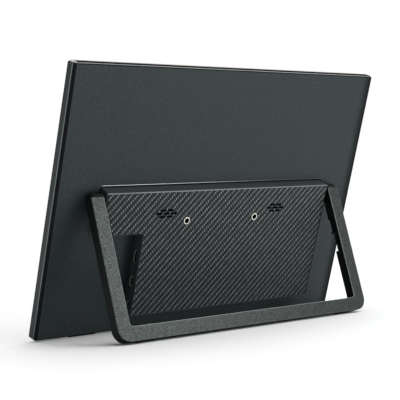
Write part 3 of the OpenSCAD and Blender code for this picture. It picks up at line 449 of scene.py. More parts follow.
def finished(material, colour, roughness, relief=None, depth_mm=0.0, metallic=0.0, specular=0.5, more=None):
    """Ends a material: its colour, gloss and relief, and any more of the shader's sockets."""
    sockets = {"Base Color": colour, "Roughness": roughness, "Metallic": metallic}
    sockets["Specular IOR Level"] = specular
    if relief is not None:
        bump = {"Height": relief, "Distance": depth_mm * MM, "Strength": 1.0}
        sockets["Normal"] = relief.node("ShaderNodeBump", {}, bump)
    shader = colour.node("ShaderNodeBsdfPrincipled", {}, {**sockets, **(more or {})})
    tree = shader.tree
    tree.links.new(shader.socket, tree.nodes.new("ShaderNodeOutputMaterial").inputs["Surface"])
    return material


# ---- Finishes


def satin_paint(name, colour):
    """Satin sprayed paint: a fine orange peel, faint mottling and a few dust specks, with painted shade at its
    ends and beside the notch's wall.
    """
    material, spot = new_finish(name)
    peel = noise(spot, 0.45, 3.0, 0.6)
    mottle = smooth(noise(spot, 2.6, 3.0, 0.6), 0.3, 0.7)
    cloud = noise(spot, 60.0)
    dust = noise(spot, 0.9, 1.0) > 0.74
    tone = peel * 0.25 + mottle * 0.5 + cloud * 0.25
    warm = shade(tone, colour, 0.5, 1.5)
    cool = shade(tone, (colour[0] * 0.88, colour[1] * 1.02, colour[2] * 1.04), 0.5, 1.5)
    body = mix(smooth(noise(spot, 22.0), 0.4, 0.6), warm, cool)
    body = mix(dust * 0.5, body, shade(peel, colour, 1.5, 1.9))

    x, _, z = axes(spot)
    # Painted shade: the paint darkens towards the end opposite the notch, goes near black in a thin band along
    # both ends, and darkens on the notch's floor beside the port wall. The coat thins there too.
    painted_end_shade = smooth(-x, PANEL_HALF_MM - 12.0, PANEL_HALF_MM) * 0.85
    shade_and_glint_mask = smooth(abs(x), PANEL_HALF_MM - 1.2, PANEL_HALF_MM - 0.9)
    painted_nook_shade = both(smooth(x, PORT_WALL_X_MM + 13.0, PORT_WALL_X_MM + 5.0), x > PORT_WALL_X_MM - 1.0)
    painted_nook_shade = both(painted_nook_shade, both(z < NOTCH_TOP_MM, smooth(z, FOOT_LOW_MM - 6.0, FOOT_LOW_MM)))
    shade_mask = either(either(painted_end_shade, shade_and_glint_mask), painted_nook_shade * 0.5)

    body = mix(shade_mask, body, (0.009, 0.01, 0.0105))
    roughness = 0.5 + peel * 0.16 + dust * 0.1
    coat = {"Coat Weight": 0.6 - shade_mask * 0.6, "Coat Roughness": 0.45, "Coat IOR": 1.5}
    return finished(material, body, roughness, peel * 0.8 + mottle * 0.5, 0.012, specular=0.0, more=coat)


def shadow_black(name, level=0.0065):
    """Matt black that stands in for shade: on the cover's edge, in the groove round the housing, in the grille's
    slots and in the inserts' threads.
    """
    material, spot = new_finish(name)
    grit = noise(spot, 0.3, 3.0, 0.65)
    streak = streaks(spot, 0.05, 2.0, 0.05)
    body = shade(grit * 0.6 + streak * 0.4, (level * 0.92, level, level * 1.08), 0.6, 1.5)
    return finished(material, body, 0.62 + grit * 0.15, grit, 0.01, specular=0.0)


def edge_with_painted_glint(name, colour):
    """The cover's top edge: black for painted shade, with a painted highlight along its top."""
    material, spot = new_finish(name)
    grit = noise(spot, 0.3, 3.0, 0.65)
    drift = streaks(spot, 0.04, 1.0, 1.0)
    height = axes(spot)[2] + (drift - 0.5) * 0.3
    # Painted highlight: rubbed marks the bright band along the top of the edge. Below it, the edge is black for
    # painted shade.
    rubbed = smooth(height, SLAB_MM[1] - 0.85, SLAB_MM[1] - 0.7)
    body = mix(rubbed, shade(grit, (0.012, 0.013, 0.014), 0.6, 1.5), shade(grit, colour, 0.8, 1.2))
    roughness = 0.6 - rubbed * 0.2 + grit * 0.1
    return finished(material, body, roughness, grit, 0.008, rubbed * 0.3, 0.0)


def wall_with_painted_shade(name, colour):
    """Dark metal on its front half, with a painted highlight at its right corner and black painted shade on the
    rest.
    """
    material, spot = new_finish(name)
    grit = noise(spot, 0.25, 3.0, 0.65)
    drawn = streaks(spot, 0.02, 6.0, 0.02)
    middle = sum(FRAME_DEPTHS_MM) / 2
    x, y, _ = axes(spot)
    # Painted light: a light grey highlight at the corner, and black painted shade over the wall's rear half.
    corner = smooth(x, PANEL_HALF_MM - 2.6, PANEL_HALF_MM - 1.4)
    shade_and_glint_mask = either(smooth(y + drawn * 0.4, middle + 0.2, middle - 0.6), corner)
    painted = shade(grit, DEEP_BLACK, 0.6, 1.5)
    polished = mix(corner, shade(drawn, colour, 0.85, 1.1), (0.5, 0.5, 0.49))
    roughness = 0.5 - shade_and_glint_mask * 0.2 + grit * 0.1
    relief = grit * 0.6 + drawn * 0.4
    return finished(material, mix(shade_and_glint_mask, painted, polished), roughness, relief, 0.008, shade_and_glint_mask * 0.9, 0.0)


def anodised(name, colour, bright=1.0, roughness=0.34):
    """Anodised aluminium: a fine blasted grain with faint drawn lines along its length, black along its front
    edge, with painted light: lighter towards its rear edge, darker towards the bottom, and a painted highlight
    along its rear rim.
    """
    material, spot = new_finish(name)
    grain = noise(spot, 0.18, 2.0, 0.7)
    drawn = streaks(spot, 0.02, 6.0, 0.02)
    wear = smooth(noise(spot, 14.0, 4.0, 0.65), 0.55, 0.75)
    _, depth, z = axes(spot)
    front, rear = FRAME_DEPTHS_MM
    # Painted light: the wall is lit towards its rear edge and shaded towards the bottom. A thin band along the
    # rear edge takes a painted highlight, and bright above 1 makes a lit copy.
    high = smooth(z, -5.0, 60.0)
    painted_rear_light = smooth(depth, front, rear)
    rim = smooth(depth, rear - 0.7, rear - 0.5)
    band = smooth(depth, front + 1.6, front + 1.3)
    tone = ((grain * 0.5 + drawn * 0.3 + wear * 0.2) * 0.5 + painted_rear_light * 0.5) * (0.25 + high * 0.75)
    wall = mix(rim, shade(tone, colour, 0.35 * bright, 1.4 * bright), shade(tone, colour, 2.6, 4.4))
    body = mix(band * 0.9, wall, (0.003, 0.003, 0.0035))
    gloss = roughness + grain * 0.12 - wear * 0.06
    return finished(material, body, gloss, grain + drawn * 0.4, 0.008, 0.7 - band * 0.7, 0.1)


def moulded(name, colour, grain_mm, roughness, specular=0.5, shaded_rims=False):
    """Moulded plastic with a spark-eroded texture. On the housing's body it is painted black for shade along the
    left and right rims.
    """
    material, spot = new_finish(name)
    pits = grains(spot, grain_mm)
    fine = noise(spot, grain_mm * 0.6, 3.0, 0.65)
    flow = streaks(spot, 0.02, 0.05, 0.08)
    body = shade(fine * 0.5 + pits * 0.25 + flow * 0.25, colour, 0.8, 1.25)
    if shaded_rims:
        x, y, _ = axes(spot)
        # Painted shade: black along the face's left and right rims, where the housing's sides fall into shadow.
        rim = both(smooth(abs(x), FACE_HALF_MM - 1.3, FACE_HALF_MM - 1.0), y > SHEET_Y_MM - 0.9)
        body = mix(rim, body, DEEP_BLACK)
    gloss = roughness + fine * 0.12 - pits * 0.06
    return finished(material, body, gloss, fine + pits * 0.6, 0.014, specular=specular)


def near_stadium(side, z, columns, row_mm):
    """1 within a band of painted shade round a row of the grille's slots."""
    up = z - (SPEAKER_Z_MM + row_mm)
    long_mm, high_mm = SLOT_MM
    half = long_mm / 2 - high_mm / 2
    rims = None
    for column in columns:
        along = above_zero(abs(side - column * SLOT_PITCH_MM) - half)
        rim = smooth(reach(along, up), high_mm / 2 + 0.5, high_mm / 2 + 0.25)
        rims = rim if rims is None else either(rims, rim)
    return rims


def carbon_twill(name, sizes, colours):
    """Two-by-two twill of flat tows under a satin film. Its upright tows are bright on their crowns, partly print
    and partly a painted highlight, and painted shade darkens it round the grilles and along its ends.
    """
    material, spot = new_finish(name)
    x, y, z = axes(spot)
    across = x / (sizes.tow_width / MM)
    up = z / (sizes.tow_height / MM)
    column = whole(across)
    row = whole(up)
    step = (column + row) % 4.0
    upright = step < 1.5

    # Each float is two cells long; along runs from -1 to 1 on it, aside from -0.5 to 0.5 across it.
    upright_along = part(up) + step - 1.0
    upright_aside = part(across) - 0.5
    level_along = part(across) + step - 3.0
    level_aside = part(up) - 0.5
    upright_end = 1.0 - upright_along * upright_along * 0.92
    upright_crown = (1.0 - upright_aside * upright_aside * 3.2) * upright_end * upright_end
    level_crown = (1.0 - level_aside * level_aside * 3.2) * (1.0 - level_along * level_along * 0.9)

    upright_lot = chance(point(column, row - step, 0.0))
    level_lot = chance(point(column - step, row, 7.0))
    drift = noise(point(across, up, 0.0), 9.0)
    upright_fibre = noise(point(x * 9.0, z * 0.5, 0.0), 1.0, 2.0, 0.6)
    level_fibre = noise(point(x * 0.5, z * 9.0, 0.0), 1.0, 2.0, 0.6)
    # The crown of each upright tow is bright, partly the printed weave and partly a painted highlight. The level
    # tows are dim.
    glint = above_zero(upright_crown) ** 1.5
    lit = glint * (0.6 + upright_lot * 0.5 + drift * 0.3) * (0.8 + upright_fibre * 0.4)
    dim = 0.12 - level_crown * (0.08 + level_lot * 0.05) + level_fibre * 0.04

    face = smooth(y, SHEET_Y_MM - 0.1, SHEET_Y_MM - 0.02)
    # Painted shade: the sheet goes dark round the grille's slots and along its left and right ends.
    side = abs(x) - SPEAKER_X_MM
    slots = near_stadium(side, z, (-1.0, 0.0, 1.0), 0.0)
    for row_mm in (-SLOT_ROW_MM, SLOT_ROW_MM):
        slots = either(slots, near_stadium(side, z, (-0.5, 0.5), row_mm))
    edge = smooth(abs(x), FACE_HALF_MM - 2.0, FACE_HALF_MM - 1.6)
    light = choose(upright, lit, dim) * face * (1.0 - either(slots, edge))
    height = upright * upright_crown + (1.0 - upright) * level_crown * 0.9
    fibre = choose(upright, upright_fibre, level_fibre)
    smear = noise(point(x, z, 0.0), 26.0, 3.0, 0.6)
    body = mix(light, colours.tow_dark, colours.tow_light)
    roughness = 0.36 + smear * 0.1 + fibre * 0.06
    return finished(material, body, roughness, height + fibre * 0.12, 0.05, specular=0.1)


def blasted(name, colour, bright=1.0, roughness=0.36):
    """Bead-blasted, anodised metal of the stand: coarse sparkling grain, with a painted highlight round its
    opening.
    """
    material, spot = new_finish(name, ALONG_STAND)
    bead = smooth(noise(spot, 0.45, 2.0, 0.7), 0.3, 0.7)
    sparkle = smooth(noise(spot, 0.6, 0.0), 0.38, 0.62)
    cloud = noise(spot, 9.0, 3.0, 0.6)
    tone = bead * 0.3 + sparkle * 0.6 + cloud * 0.1
    x, _, z = axes(spot)
    corner = INNER_CORNER_MM
    beside = above_zero(abs(x) - (INNER_HALF_MM - corner))
    below = above_zero((INNER_LOW_MM + corner) - z)
    # Painted highlight: a bright band along the edge of the opening between the legs. Bright above 1 makes a lit
    # copy.
    painted_inner_glint = smooth(reach(beside, below) - corner, 0.9, 0.5)
    body = shade(tone, colour, 0.1 * bright, 2.05 * bright)
    body = mix(painted_inner_glint * 0.8, body, shade(tone, colour, 1.8 * bright, 2.4 * bright))
    gloss = roughness + bead * 0.14 - sparkle * 0.06
    return finished(material, body, gloss, bead + sparkle * 0.4, 0.02, 0.6, 0.4)


def powder_coat(name, colour, roughness=0.55):
    """Fine matt powder coat of the stand."""
    material, spot = new_finish(name, ALONG_STAND)
    grit = noise(spot, 0.4, 3.0, 0.7)
    lump = grains(spot, 0.7)
    cloud = noise(spot, 16.0, 3.0)
    body = shade(grit * 0.5 + lump * 0.2 + cloud * 0.3, colour, 0.7, 1.35)
    gloss = roughness + grit * 0.14 - cloud * 0.06
    return finished(material, body, gloss, grit + lump * 0.5, 0.018, specular=0.14)


def rubber(name):
    """Matt black rubber with a fine tooth, scuffed where it is proud."""
    material, spot = new_finish(name)
    tooth = grains(spot, 0.5)
    scuff = smooth(noise(spot, 2.2, 4.0, 0.7), 0.55, 0.72)
    body = mix(scuff * 0.5, shade(tooth, RUBBER_BLACK, 0.8, 1.2), (0.05, 0.05, 0.052))
    roughness = 0.78 + scuff * 0.12 - tooth * 0.08
    return finished(material, body, roughness, tooth + scuff * 0.3, 0.03, specular=0.25)


def plated(name, colour, roughness=0.26):
    """Bare or plated metal with tool marks and a little tarnish."""
    material, spot = new_finish(name)
    marks = streaks(spot, 6.0, 0.6, 6.0, 2.0, 0.6)
    tarnish = smooth(noise(spot, 1.6, 4.0, 0.65), 0.45, 0.8)
    dulled = (colour[0] * 0.55, colour[1] * 0.45, colour[2] * 0.35)
    body = mix(tarnish * 0.55, shade(marks, colour, 0.88, 1.08), dulled)
    gloss = roughness + marks * 0.1 + tarnish * 0.18
    return finished(material, body, gloss, marks + tarnish * 0.3, 0.006, 1.0)


def trim_with_painted_glint(name, colour):
    """Steel trim with a painted highlight, which fades to near black towards its right end and at its left corner.
    """
    material, spot = new_finish(name)
    rub = streaks(spot, 0.08, 1.0, 1.0, 3.0, 0.6)
    grit = noise(spot, 0.3, 2.0, 0.7)
    x = axes(spot)[0]
    # Painted highlight: bright steel towards the left, fading to near black towards the right end and at the left
    # corner.
    shade_and_glint_mask = smooth(x + (rub - 0.5) * 60.0, -90.0, 60.0)
    shade_and_glint_mask = both(shade_and_glint_mask, smooth(x, FACE_HALF_MM + 0.5, FACE_HALF_MM - 3.0))
    body = mix(shade_and_glint_mask, (0.05, 0.053, 0.055), shade(rub, colour, 0.75, 1.2))
    return finished(material, body, 0.32 + grit * 0.12, grit, 0.005, 0.25 + shade_and_glint_mask * 0.75)


def socket_shell(name, colour):
    """Drawn steel shell: bright on its rolled rim, with painted shade in near black inside."""
    material, spot = new_finish(name)
    rim = smooth(axes(spot)[0], SOCKET_MOUTH_X_MM - 0.5, SOCKET_MOUTH_X_MM - 0.25)
    drawn = streaks(spot, 0.3, 8.0, 8.0, 2.0, 0.6)
    grime = smooth(noise(spot, 1.2, 3.0, 0.65), 0.4, 0.8)
    # Painted shade: inside its mouth the steel is darkened to near black.
    body = mix(rim, shade(drawn, colour, 0.012, 0.03), shade(grime, colour, 1.1, 0.7))
    roughness = 0.5 - rim * 0.12 + drawn * 0.1
    return finished(material, body, roughness, drawn + grime * 0.3, 0.008, rim * 0.75, 0.1)


def brushed(name, colour, along=(0.03, 8.0, 8.0)):
    """Sheet metal with rolling lines."""
    material, spot = new_finish(name)
    lines = streaks(spot, *along, 3.0, 0.6)
    stain = smooth(noise(spot, 30.0, 4.0, 0.6), 0.45, 0.75)
    body = mix(stain * 0.3, shade(lines, colour, 0.8, 1.1), times(colour, 0.6))
    return finished(material, body, 0.3 + lines * 0.16 + stain * 0.1, lines, 0.005, 1.0)


def circuit_board(name):
    """Green solder mask over copper tracks, with rows of tinned pads and vias."""
    material, spot = new_finish(name)
    x, _, z = axes(spot)
    wander = noise(point(x, z, 0.0), 9.0, 1.0)
    level = stripes(z + whole(wander * 6.0) * 0.4, 0.8, 0.45)
    upright = stripes(x + whole(wander * 5.0) * 0.4, 0.8, 0.45)
    region = noise(point(whole(x / 7.0), whole(z / 5.0), 0.0), 0.7, 0.0)
    tracks = level + (upright - level) * (region > 0.5)
    open_field = noise(point(whole(x / 4.0), whole(z / 6.0), 3.0), 0.9, 0.0) > 0.56
    copper = both(tracks, open_field)
    across = x / HOLE_PITCH_MM
    up = z / HOLE_PITCH_MM
    via = reach(part(across) - 0.5, part(up) - 0.5)
    via_here = chance(point(whole(across), whole(up), 1.0)) > 0.72
    pad = both(via_here, ring(via, 0.09, 0.17))
    hole = both(via_here, via < 0.09)
    pad_row = both(abs(z - PAD_ROW_Z_MM) < 0.9, open_field)
    tinned = either(pad, both(stripes(x, HOLE_PITCH_MM / 2, 0.5), pad_row))
    body = shade(noise(point(x, z, 0.0), 3.0, 3.0), (0.006, 0.055, 0.024), 0.75, 1.3)
    body = mix(copper * 0.55, body, (0.03, 0.16, 0.05))
    body = mix(tinned, body, (0.72, 0.66, 0.5))
    # Painted shade: black dots in place of the vias' open holes.
    body = mix(hole, body, SOOT_BLACK)
    relief = copper * 0.5 + tinned * 0.8 - hole
    return finished(material, body, 0.3 + tinned * 0.08 + hole * 0.3, relief, 0.03, tinned * 0.9)


def board_parts(name):
    """Moulded chips, ferrite coils, a cable socket, tinned legs and bare capacitor cans."""
    material, spot = new_finish(name)
    x, y, z = axes(spot)
    speck = noise(point(x, y, z), 0.25, 3.0, 0.7)
    lift = y - BOARD_REAR_MM
    cans = both(lift > CAN_LIFT_MM, x < 0.0)
    can_rim = shade(noise(point(x * 3.0, y, z * 3.0), 1.0), (0.62, 0.62, 0.64), 0.75, 1.1)
    socket = both(abs(x - CABLE_X_MM) < CABLE_HALF_MM, z > CABLE_FROM_Z_MM)
    coil = both(x > COILS_FROM_X_MM, lift > COIL_LIFT_MM)
    turns = reach(x - COIL_X_MM, (z % COIL_PITCH_MM) - COIL_PITCH_MM / 2)
    wound = shade(stripes(turns, 0.35, 0.6), (0.30, 0.10, 0.03), 0.5, 1.2)
    legs = both(lift < LEG_LIFT_MM, stripes(x, 0.5, 0.55))
    body = mix(coil * 0.8, shade(speck, (0.018, 0.018, 0.02), 0.7, 1.5), wound)
    body = mix(cans, body, can_rim)
    body = mix(socket * 0.9, body, (0.70, 0.66, 0.55))
    body = mix(legs, body, (0.62, 0.62, 0.62))
    roughness = 0.42 + speck * 0.2 - cans * 0.15 - legs * 0.1
    return finished(material, body, roughness, speck, 0.01, either(cans, legs) * 0.9)


def foam(name, colour):
    """Open-cell foam."""
    material, spot = new_finish(name)
    walls = smooth(grains(spot, 0.5), 0.1, 0.55)
    return finished(
        material, shade(walls, colour, 0.35, 1.5), 0.85 + walls * 0.1, walls, 0.15, specular=0.15
    )


def adhesive_tape(name):
    """Black adhesive ring with a fine woven carrier."""
    material, spot = new_finish(name)
    x, y, z = axes(spot)
    carrier = stripes(x, 0.3, 0.5) * 0.5 + stripes(z, 0.3, 0.5) * 0.5
    tone = carrier * 0.6 + noise(point(x, z, y), 1.5, 3.0) * 0.4
    return finished(material, shade(tone, MATT_BLACK, 0.6, 1.6), 0.5 + tone * 0.25, tone, 0.01)


def screen_glass(name, sizes):
    """Matt polariser over the unlit screen: its pixels, their dark surround, a fine sparkle and a painted sheen
    where it is seen at a glancing angle.
    """
    material, spot = new_finish(name)
    x, y, z = axes(spot)
    pitch = sizes.pixel_pitch / MM
    width, height = WINDOW_MM
    middle = WINDOW_BOTTOM_MM + height / 2
    inside = both(abs(x) < width / 2 - WINDOW_RIM_MM, abs(z - middle) < height / 2 - WINDOW_RIM_MM)
    column = part(x / pitch)
    line = part(z / pitch) > 0.12
    red = both(column < 0.30, line)
    green = both(ring(column, 0.34, 0.63), line)
    blue = both(column > 0.67, line)
    black = (0.0022, 0.0022, 0.0026)
    pixels = mix(red * 0.5, black, (0.016, 0.006, 0.007))
    pixels = mix(green * 0.5, pixels, (0.006, 0.014, 0.008))
    pixels = mix(blue * 0.5, pixels, (0.006, 0.007, 0.018))
    # Painted sheen: the base colour turns bluish grey where the glass is seen at a glancing angle.
    edge = spot.node("ShaderNodeLayerWeight", {}, {"Blend": 0.35}, output=1)
    body = mix(edge * 0.35, mix(inside, black, pixels), (0.035, 0.03, 0.05))
    sparkle = noise(point(x, z, y), 0.08, 2.0, 0.6)
    smear = smooth(noise(point(x, z, y), 46.0, 4.0, 0.6), 0.5, 0.8)
    roughness = 0.17 + sparkle * 0.06 + smear * 0.07
    coat = {"Coat Weight": 0.1, "Coat Roughness": 0.12}
    return finished(material, body, roughness, sparkle, 0.0025, specular=0.26, more=coat)


def light_guide(name):
    """Acrylic sheet with printed dots that grow away from the lamps."""
    material, spot = new_finish(name)
    x, _, z = axes(spot)
    dot = reach(part(x / DOT_PITCH_MM) - 0.5, part(z / DOT_PITCH_MM) - 0.5)
    dots = dot < 0.1 + smooth(z, DOTS_FROM_MM, DOTS_TO_MM) * 0.26
    body = mix(dots, (0.62, 0.68, 0.68), (0.9, 0.9, 0.88))
    return finished(material, body, 0.06 + dots * 0.5, dots, 0.004, more={"IOR": 1.49})


def optical_film(name):
    """White prism film: a pearl haze over very fine ridges."""
    material, spot = new_finish(name)
    x, y, z = axes(spot)
    ridge = abs(part(z / 0.1) - 0.5)
    haze = noise(point(x, z, y), 20.0, 3.0)
    return finished(material, shade(haze, (0.78, 0.79, 0.8), 0.9, 1.1), 0.3 + ridge * 0.2, ridge, 0.01)


def lamp_strip(name):
    """White strip with a row of yellow phosphor lamps and their solder dots."""
    material, spot = new_finish(name)
    x, y, z = axes(spot)
    along = part(x / (LAMP_STRIP_MM / LAMP_COUNT))
    lamp = both(ring(along, 0.27, 0.73), z > LAMPS_ABOVE_MM)
    solder = both(reach(along - 0.5, (z - SOLDER_MIDDLE_MM) * 0.4) < 0.09, z < SOLDER_BELOW_MM)
    haze = noise(point(x, z, y), 1.0)
    body = mix(lamp, shade(haze, (0.82, 0.82, 0.78), 0.92, 1.05), (0.86, 0.68, 0.16))
    body = mix(solder, body, (0.55, 0.55, 0.56))
    return finished(material, body, 0.4 - lamp * 0.15 + haze * 0.1, lamp + haze * 0.2, 0.02)


def speaker_cone(name):
    """Pressed paper cone with ribs round its middle."""
    material, spot = new_finish(name)
    x, y, z = axes(spot)
    radius = reach(abs(x) - SPEAKER_X_MM, z - SPEAKER_Z_MM)
    rib = abs(part(radius / 0.6) - 0.5) * 2.0
    paper = noise(point(x, y, z), 0.3, 4.0, 0.7)
    surround = radius > 4.1
    body = mix(surround, shade(paper, MATT_BLACK, 0.7, 1.4), SOOT_BLACK)
    roughness = 0.75 - surround * 0.25 + paper * 0.1
    return finished(material, body, roughness, rib * 0.6 + paper * 0.5, 0.06)


def flat_cable(name):
    """Amber flat cable with its copper conductors showing through."""
    material, spot = new_finish(name)
    x, y, z = axes(spot)
    wires = either(stripes(x, 0.5, 0.55), stripes(z, 0.5, 0.55) * (x < -30.0))
    haze = noise(point(x, z, y), 4.0, 3.0)
    body = mix(wires, shade(haze, (0.26, 0.10, 0.018), 0.85, 1.15), (0.46, 0.20, 0.06))
    coat = {"Coat Weight": 0.3, "Coat Roughness": 0.15}
    return finished(material, body, 0.28 + haze * 0.14, wires, 0.03, more=coat)


def wire_pair(name):
    """Red insulated leads with a faint extrusion line."""
    material, spot = new_finish(name)
    x, y, z = axes(spot)
    haze = noise(point(x, y, z), 1.2, 3.0)
    line = noise(point(x * 0.1, y * 6.0, z * 6.0), 1.0, 1.0)
    red = shade(haze, (0.42, 0.012, 0.01), 0.8, 1.15)
    body = mix(smooth(line, 0.62, 0.7) * 0.6, red, (0.6, 0.08, 0.06))
    return finished(material, body, 0.34 + haze * 0.1, line, 0.01)


def glossy_mould(name, colour):
    """Moulded speaker box: polished panels with a fine matt speckle."""
    material, spot = new_finish(name)
    speckle = noise(spot, 0.3, 2.0, 0.7)
    smear = noise(spot, 8.0, 3.0)
    gloss = 0.22 + speckle * 0.1 + smear * 0.12
    return finished(material, shade(speckle, colour, 0.8, 1.2), gloss, speckle, 0.006)


def contact_gold(name):
    """Gold flash on the sockets' contacts, rubbed along the way the plug slides."""
    material, spot = new_finish(name)
    rub = streaks(spot, 0.3, 12.0, 12.0)
    return finished(material, shade(rub, (0.86, 0.62, 0.24), 0.8, 1.1), 0.22 + rub * 0.14, rub, 0.003, 1.0)


# ---- Shapes


def dressed(finish, *nodes):
    """Gives the CAD nodes' own solids a finish."""
    for node in nodes:
        for place in frame["nodes"][node].material_slots:
            place.material = finish


def ridden(piece, body):
    """Lets a new piece move with its body."""
    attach(piece, body)
    return piece


def new_piece(name, mesh, finishes):
    """Links a mesh to the scene as a piece in its finishes."""
    for finish in finishes:
        mesh.materials.append(finish)
    piece = bpy.data.objects.new(name, mesh)
    bpy.context.scene.collection.objects.link(piece)
    return piece


def new_mesh(name, shape):
    """A mesh from a bmesh, smooth where it is round."""
    mesh = bpy.data.meshes.new(name)
    shape.to_mesh(mesh)
    shape.free()
    mesh.shade_smooth()
    mesh.set_sharp_from_angle(angle=math.radians(SHARP_FROM_DEG))
    return mesh


def filled(name, shape):
    """A mesh from a closed bmesh, with its normals outwards."""
    bmesh.ops.recalc_face_normals(shape, faces=shape.faces)
    return new_mesh(name, shape)


def softened(node, name, body, finishes, width, shortest_mm=0.4, pick=None):
    """A copy of a node's solid with its sharp edges broken. The broken edges take the last finish.

    Edges no longer than shortest_mm stay sharp. pick(normal, middle) gives the number of a face's finish
    from its normal and middle in the display's layout.
    """
    back = DISPLAY_TURN.transposed()
    shape = bmesh.new()
    shape.from_mesh(frame["nodes"][node].data)
    flat = math.radians(FLAT_WITHIN_DEG)
    bmesh.ops.remove_doubles(shape, verts=shape.verts, dist=WELD)
    bmesh.ops.dissolve_limit(shape, angle_limit=flat, verts=shape.verts, edges=shape.edges)
    shape.normal_update()
    for face in shape.faces:
        middle = back @ (face.calc_center_median() - DISPLAY_ORIGIN) / MM
        face.material_index = pick(back @ face.normal, middle) if pick else 0
    layers = shape.edges.layers.float
    weight = layers.get("bevel_weight_edge") or layers.new("bevel_weight_edge")
    for edge in shape.edges:
        sharp = len(edge.link_faces) == 2 and edge.calc_face_angle(0.0) > math.radians(BROKEN_FROM_DEG)
        edge[weight] = 1.0 if sharp and edge.calc_length() > shortest_mm * MM else 0.0
    piece = new_piece(name, new_mesh(name, shape), finishes)
    if width > 0:
        bevel = piece.modifiers.new("Broken edges", "BEVEL")
        bevel.limit_method = "WEIGHT"
        bevel.width = width
        bevel.segments = 2
        bevel.material = len(finishes) - 1
        bevel.use_clamp_overlap = True
        bevel.harden_normals = True
        seen = piece.evaluated_get(bpy.context.evaluated_depsgraph_get())
        piece.data = bpy.data.meshes.new_from_object(seen)
        piece.modifiers.clear()
    ridden(piece, body)
    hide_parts(node)
    return piece


def insert_rings():
    """Rings over an insert's outside and down its thread, and how many of them are outside.

    A ring is its place along the axis and the radius of each of its points.
    """
    inner_y = INSERT_MOUTH_MM - INSERT_LENGTH_MM
    seat_y = INSERT_MOUTH_MM - INSERT_FLANGE_T_MM
    body = INSERT_BODY_R_MM
    rim = INSERT_FLANGE_R_MM
    outside = (
        (inner_y, THREAD_CREST_R_MM + 0.35, 0.0),
        (inner_y, body - 0.3, 0.0),
        (inner_y + 0.3, body, KNURL_MM),
        (inner_y + 2.6, body, KNURL_MM),
        (inner_y + 2.9, body - 0.35, 0.0),
        (inner_y + 3.7, body - 0.35, 0.0),
        (inner_y + 4.0, body, KNURL_MM),
        (seat_y, body, KNURL_MM),
        (seat_y, rim, 0.0),
        (INSERT_MOUTH_MM - 0.12, rim, 0.0),
        (INSERT_MOUTH_MM, rim - 0.12, 0.0),
        (INSERT_MOUTH_MM, THREAD_ROOT_R_MM + 0.3, 0.0),
    )
    rings = []
    for y_mm, radius, knurl in outside:
        rings.append((y_mm, [radius - knurl * (spoke % 2) for spoke in range(INSERT_SPOKES)]))
    count = int(INSERT_LENGTH_MM / THREAD_PITCH_MM * RINGS_PER_TURN)
    for index in range(count + 1):
        depth = INSERT_LENGTH_MM * index / count
        mouth = max(0.0, 1.0 - depth / 0.35, 1.0 - (INSERT_LENGTH_MM - depth) / 0.3)
        radii = []
        for spoke in range(INSERT_SPOKES):
            phase = (depth / THREAD_PITCH_MM - spoke / INSERT_SPOKES) % 1.0
            cut = min(1.0, max(0.0, 1.25 - abs(phase - 0.5) * 3.1))
            radii.append(THREAD_CREST_R_MM + (THREAD_ROOT_R_MM - THREAD_CREST_R_MM) * max(cut, mouth))
        rings.append((INSERT_MOUTH_MM - depth, radii))
    return rings, len(outside)


def add_bands(shape, loops):
    """Adds a band of faces between each loop of points and the next, and gives the bands."""
    bands = []
    for first, second in zip(loops, loops[1:]):
        corners = zip(first, first[1:] + first[:1], second[1:] + second[:1], second)
        bands.append([shape.faces.new(four) for four in corners])
    return bands


def insert_mesh(name):
    """Both inserts: flange with broken rims, knurled body and a cut M4 thread. The thread and the flange's inner
    ring take the second finish, painted shade.
    """
    rings, outside = insert_rings()
    angles = [2 * math.pi * spoke / INSERT_SPOKES for spoke in range(INSERT_SPOKES)]
    shape = bmesh.new()
    for x_mm, z_mm in INSERT_PLACES_MM:
        loops = []
        for y_mm, radii in rings:
            spots = [(x_mm + r * math.cos(a), y_mm, z_mm + r * math.sin(a)) for a, r in zip(angles, radii)]
            loops.append([shape.verts.new(leaned(*spot)) for spot in spots])
        # The thread and the flange's inner ring take the black finish: painted shade in the bore.
        for band in add_bands(shape, loops + loops[:1])[outside - 1:]:
            for face in band:
                face.material_index = 1
    return filled(name, shape)


def foot_path(outset_mm):
    """Points round the housing's foot that far outside it, from the notch's ceiling to its side wall."""
    corner = FOOT_CORNER_MM + outset_mm
    low = FOOT_LOW_MM - outset_mm
    half = FOOT_HALF_MM + outset_mm
    right = half - corner
    top = FOOT_HIGH_MM + outset_mm - corner
    points = [(half, NOTCH_TOP_MM)]
    for start, x_mm, z_mm in ((0, right, top), (90, -right, top), (180, -right, low + corner)):
        for step in range(CORNER_STEPS + 1):
            angle = math.radians(start + 90 * step / CORNER_STEPS)
            points.append((x_mm + corner * math.cos(angle), z_mm + corner * math.sin(angle)))
    points.append((PORT_WALL_X_MM, low))
    return points


def trim_mesh(name):
    """Half-round trim on the rear cover, along the lip of the groove round the housing."""
    shape = bmesh.new()
    loops = []
    inner = foot_path(GROOVE_MM + TRIM_GAP_MM)
    outer = foot_path(GROOVE_MM + TRIM_GAP_MM + TRIM_WIDTH_MM)
    for (inner_x, inner_z), (outer_x, outer_z) in zip(inner, outer):
        loop = []
        for step in range(TRIM_STEPS + 1):
            angle = math.pi * step / TRIM_STEPS
            share = 0.5 - 0.5 * math.cos(angle)
            x_mm = inner_x + (outer_x - inner_x) * share
            z_mm = inner_z + (outer_z - inner_z) * share
            loop.append(shape.verts.new(leaned(x_mm, TRIM_HEIGHT_MM * math.sin(angle), z_mm)))
        loops.append(loop)
    add_bands(shape, loops)
    shape.faces.new(loops[0])
    shape.faces.new(loops[-1][::-1])
    return filled(name, shape)


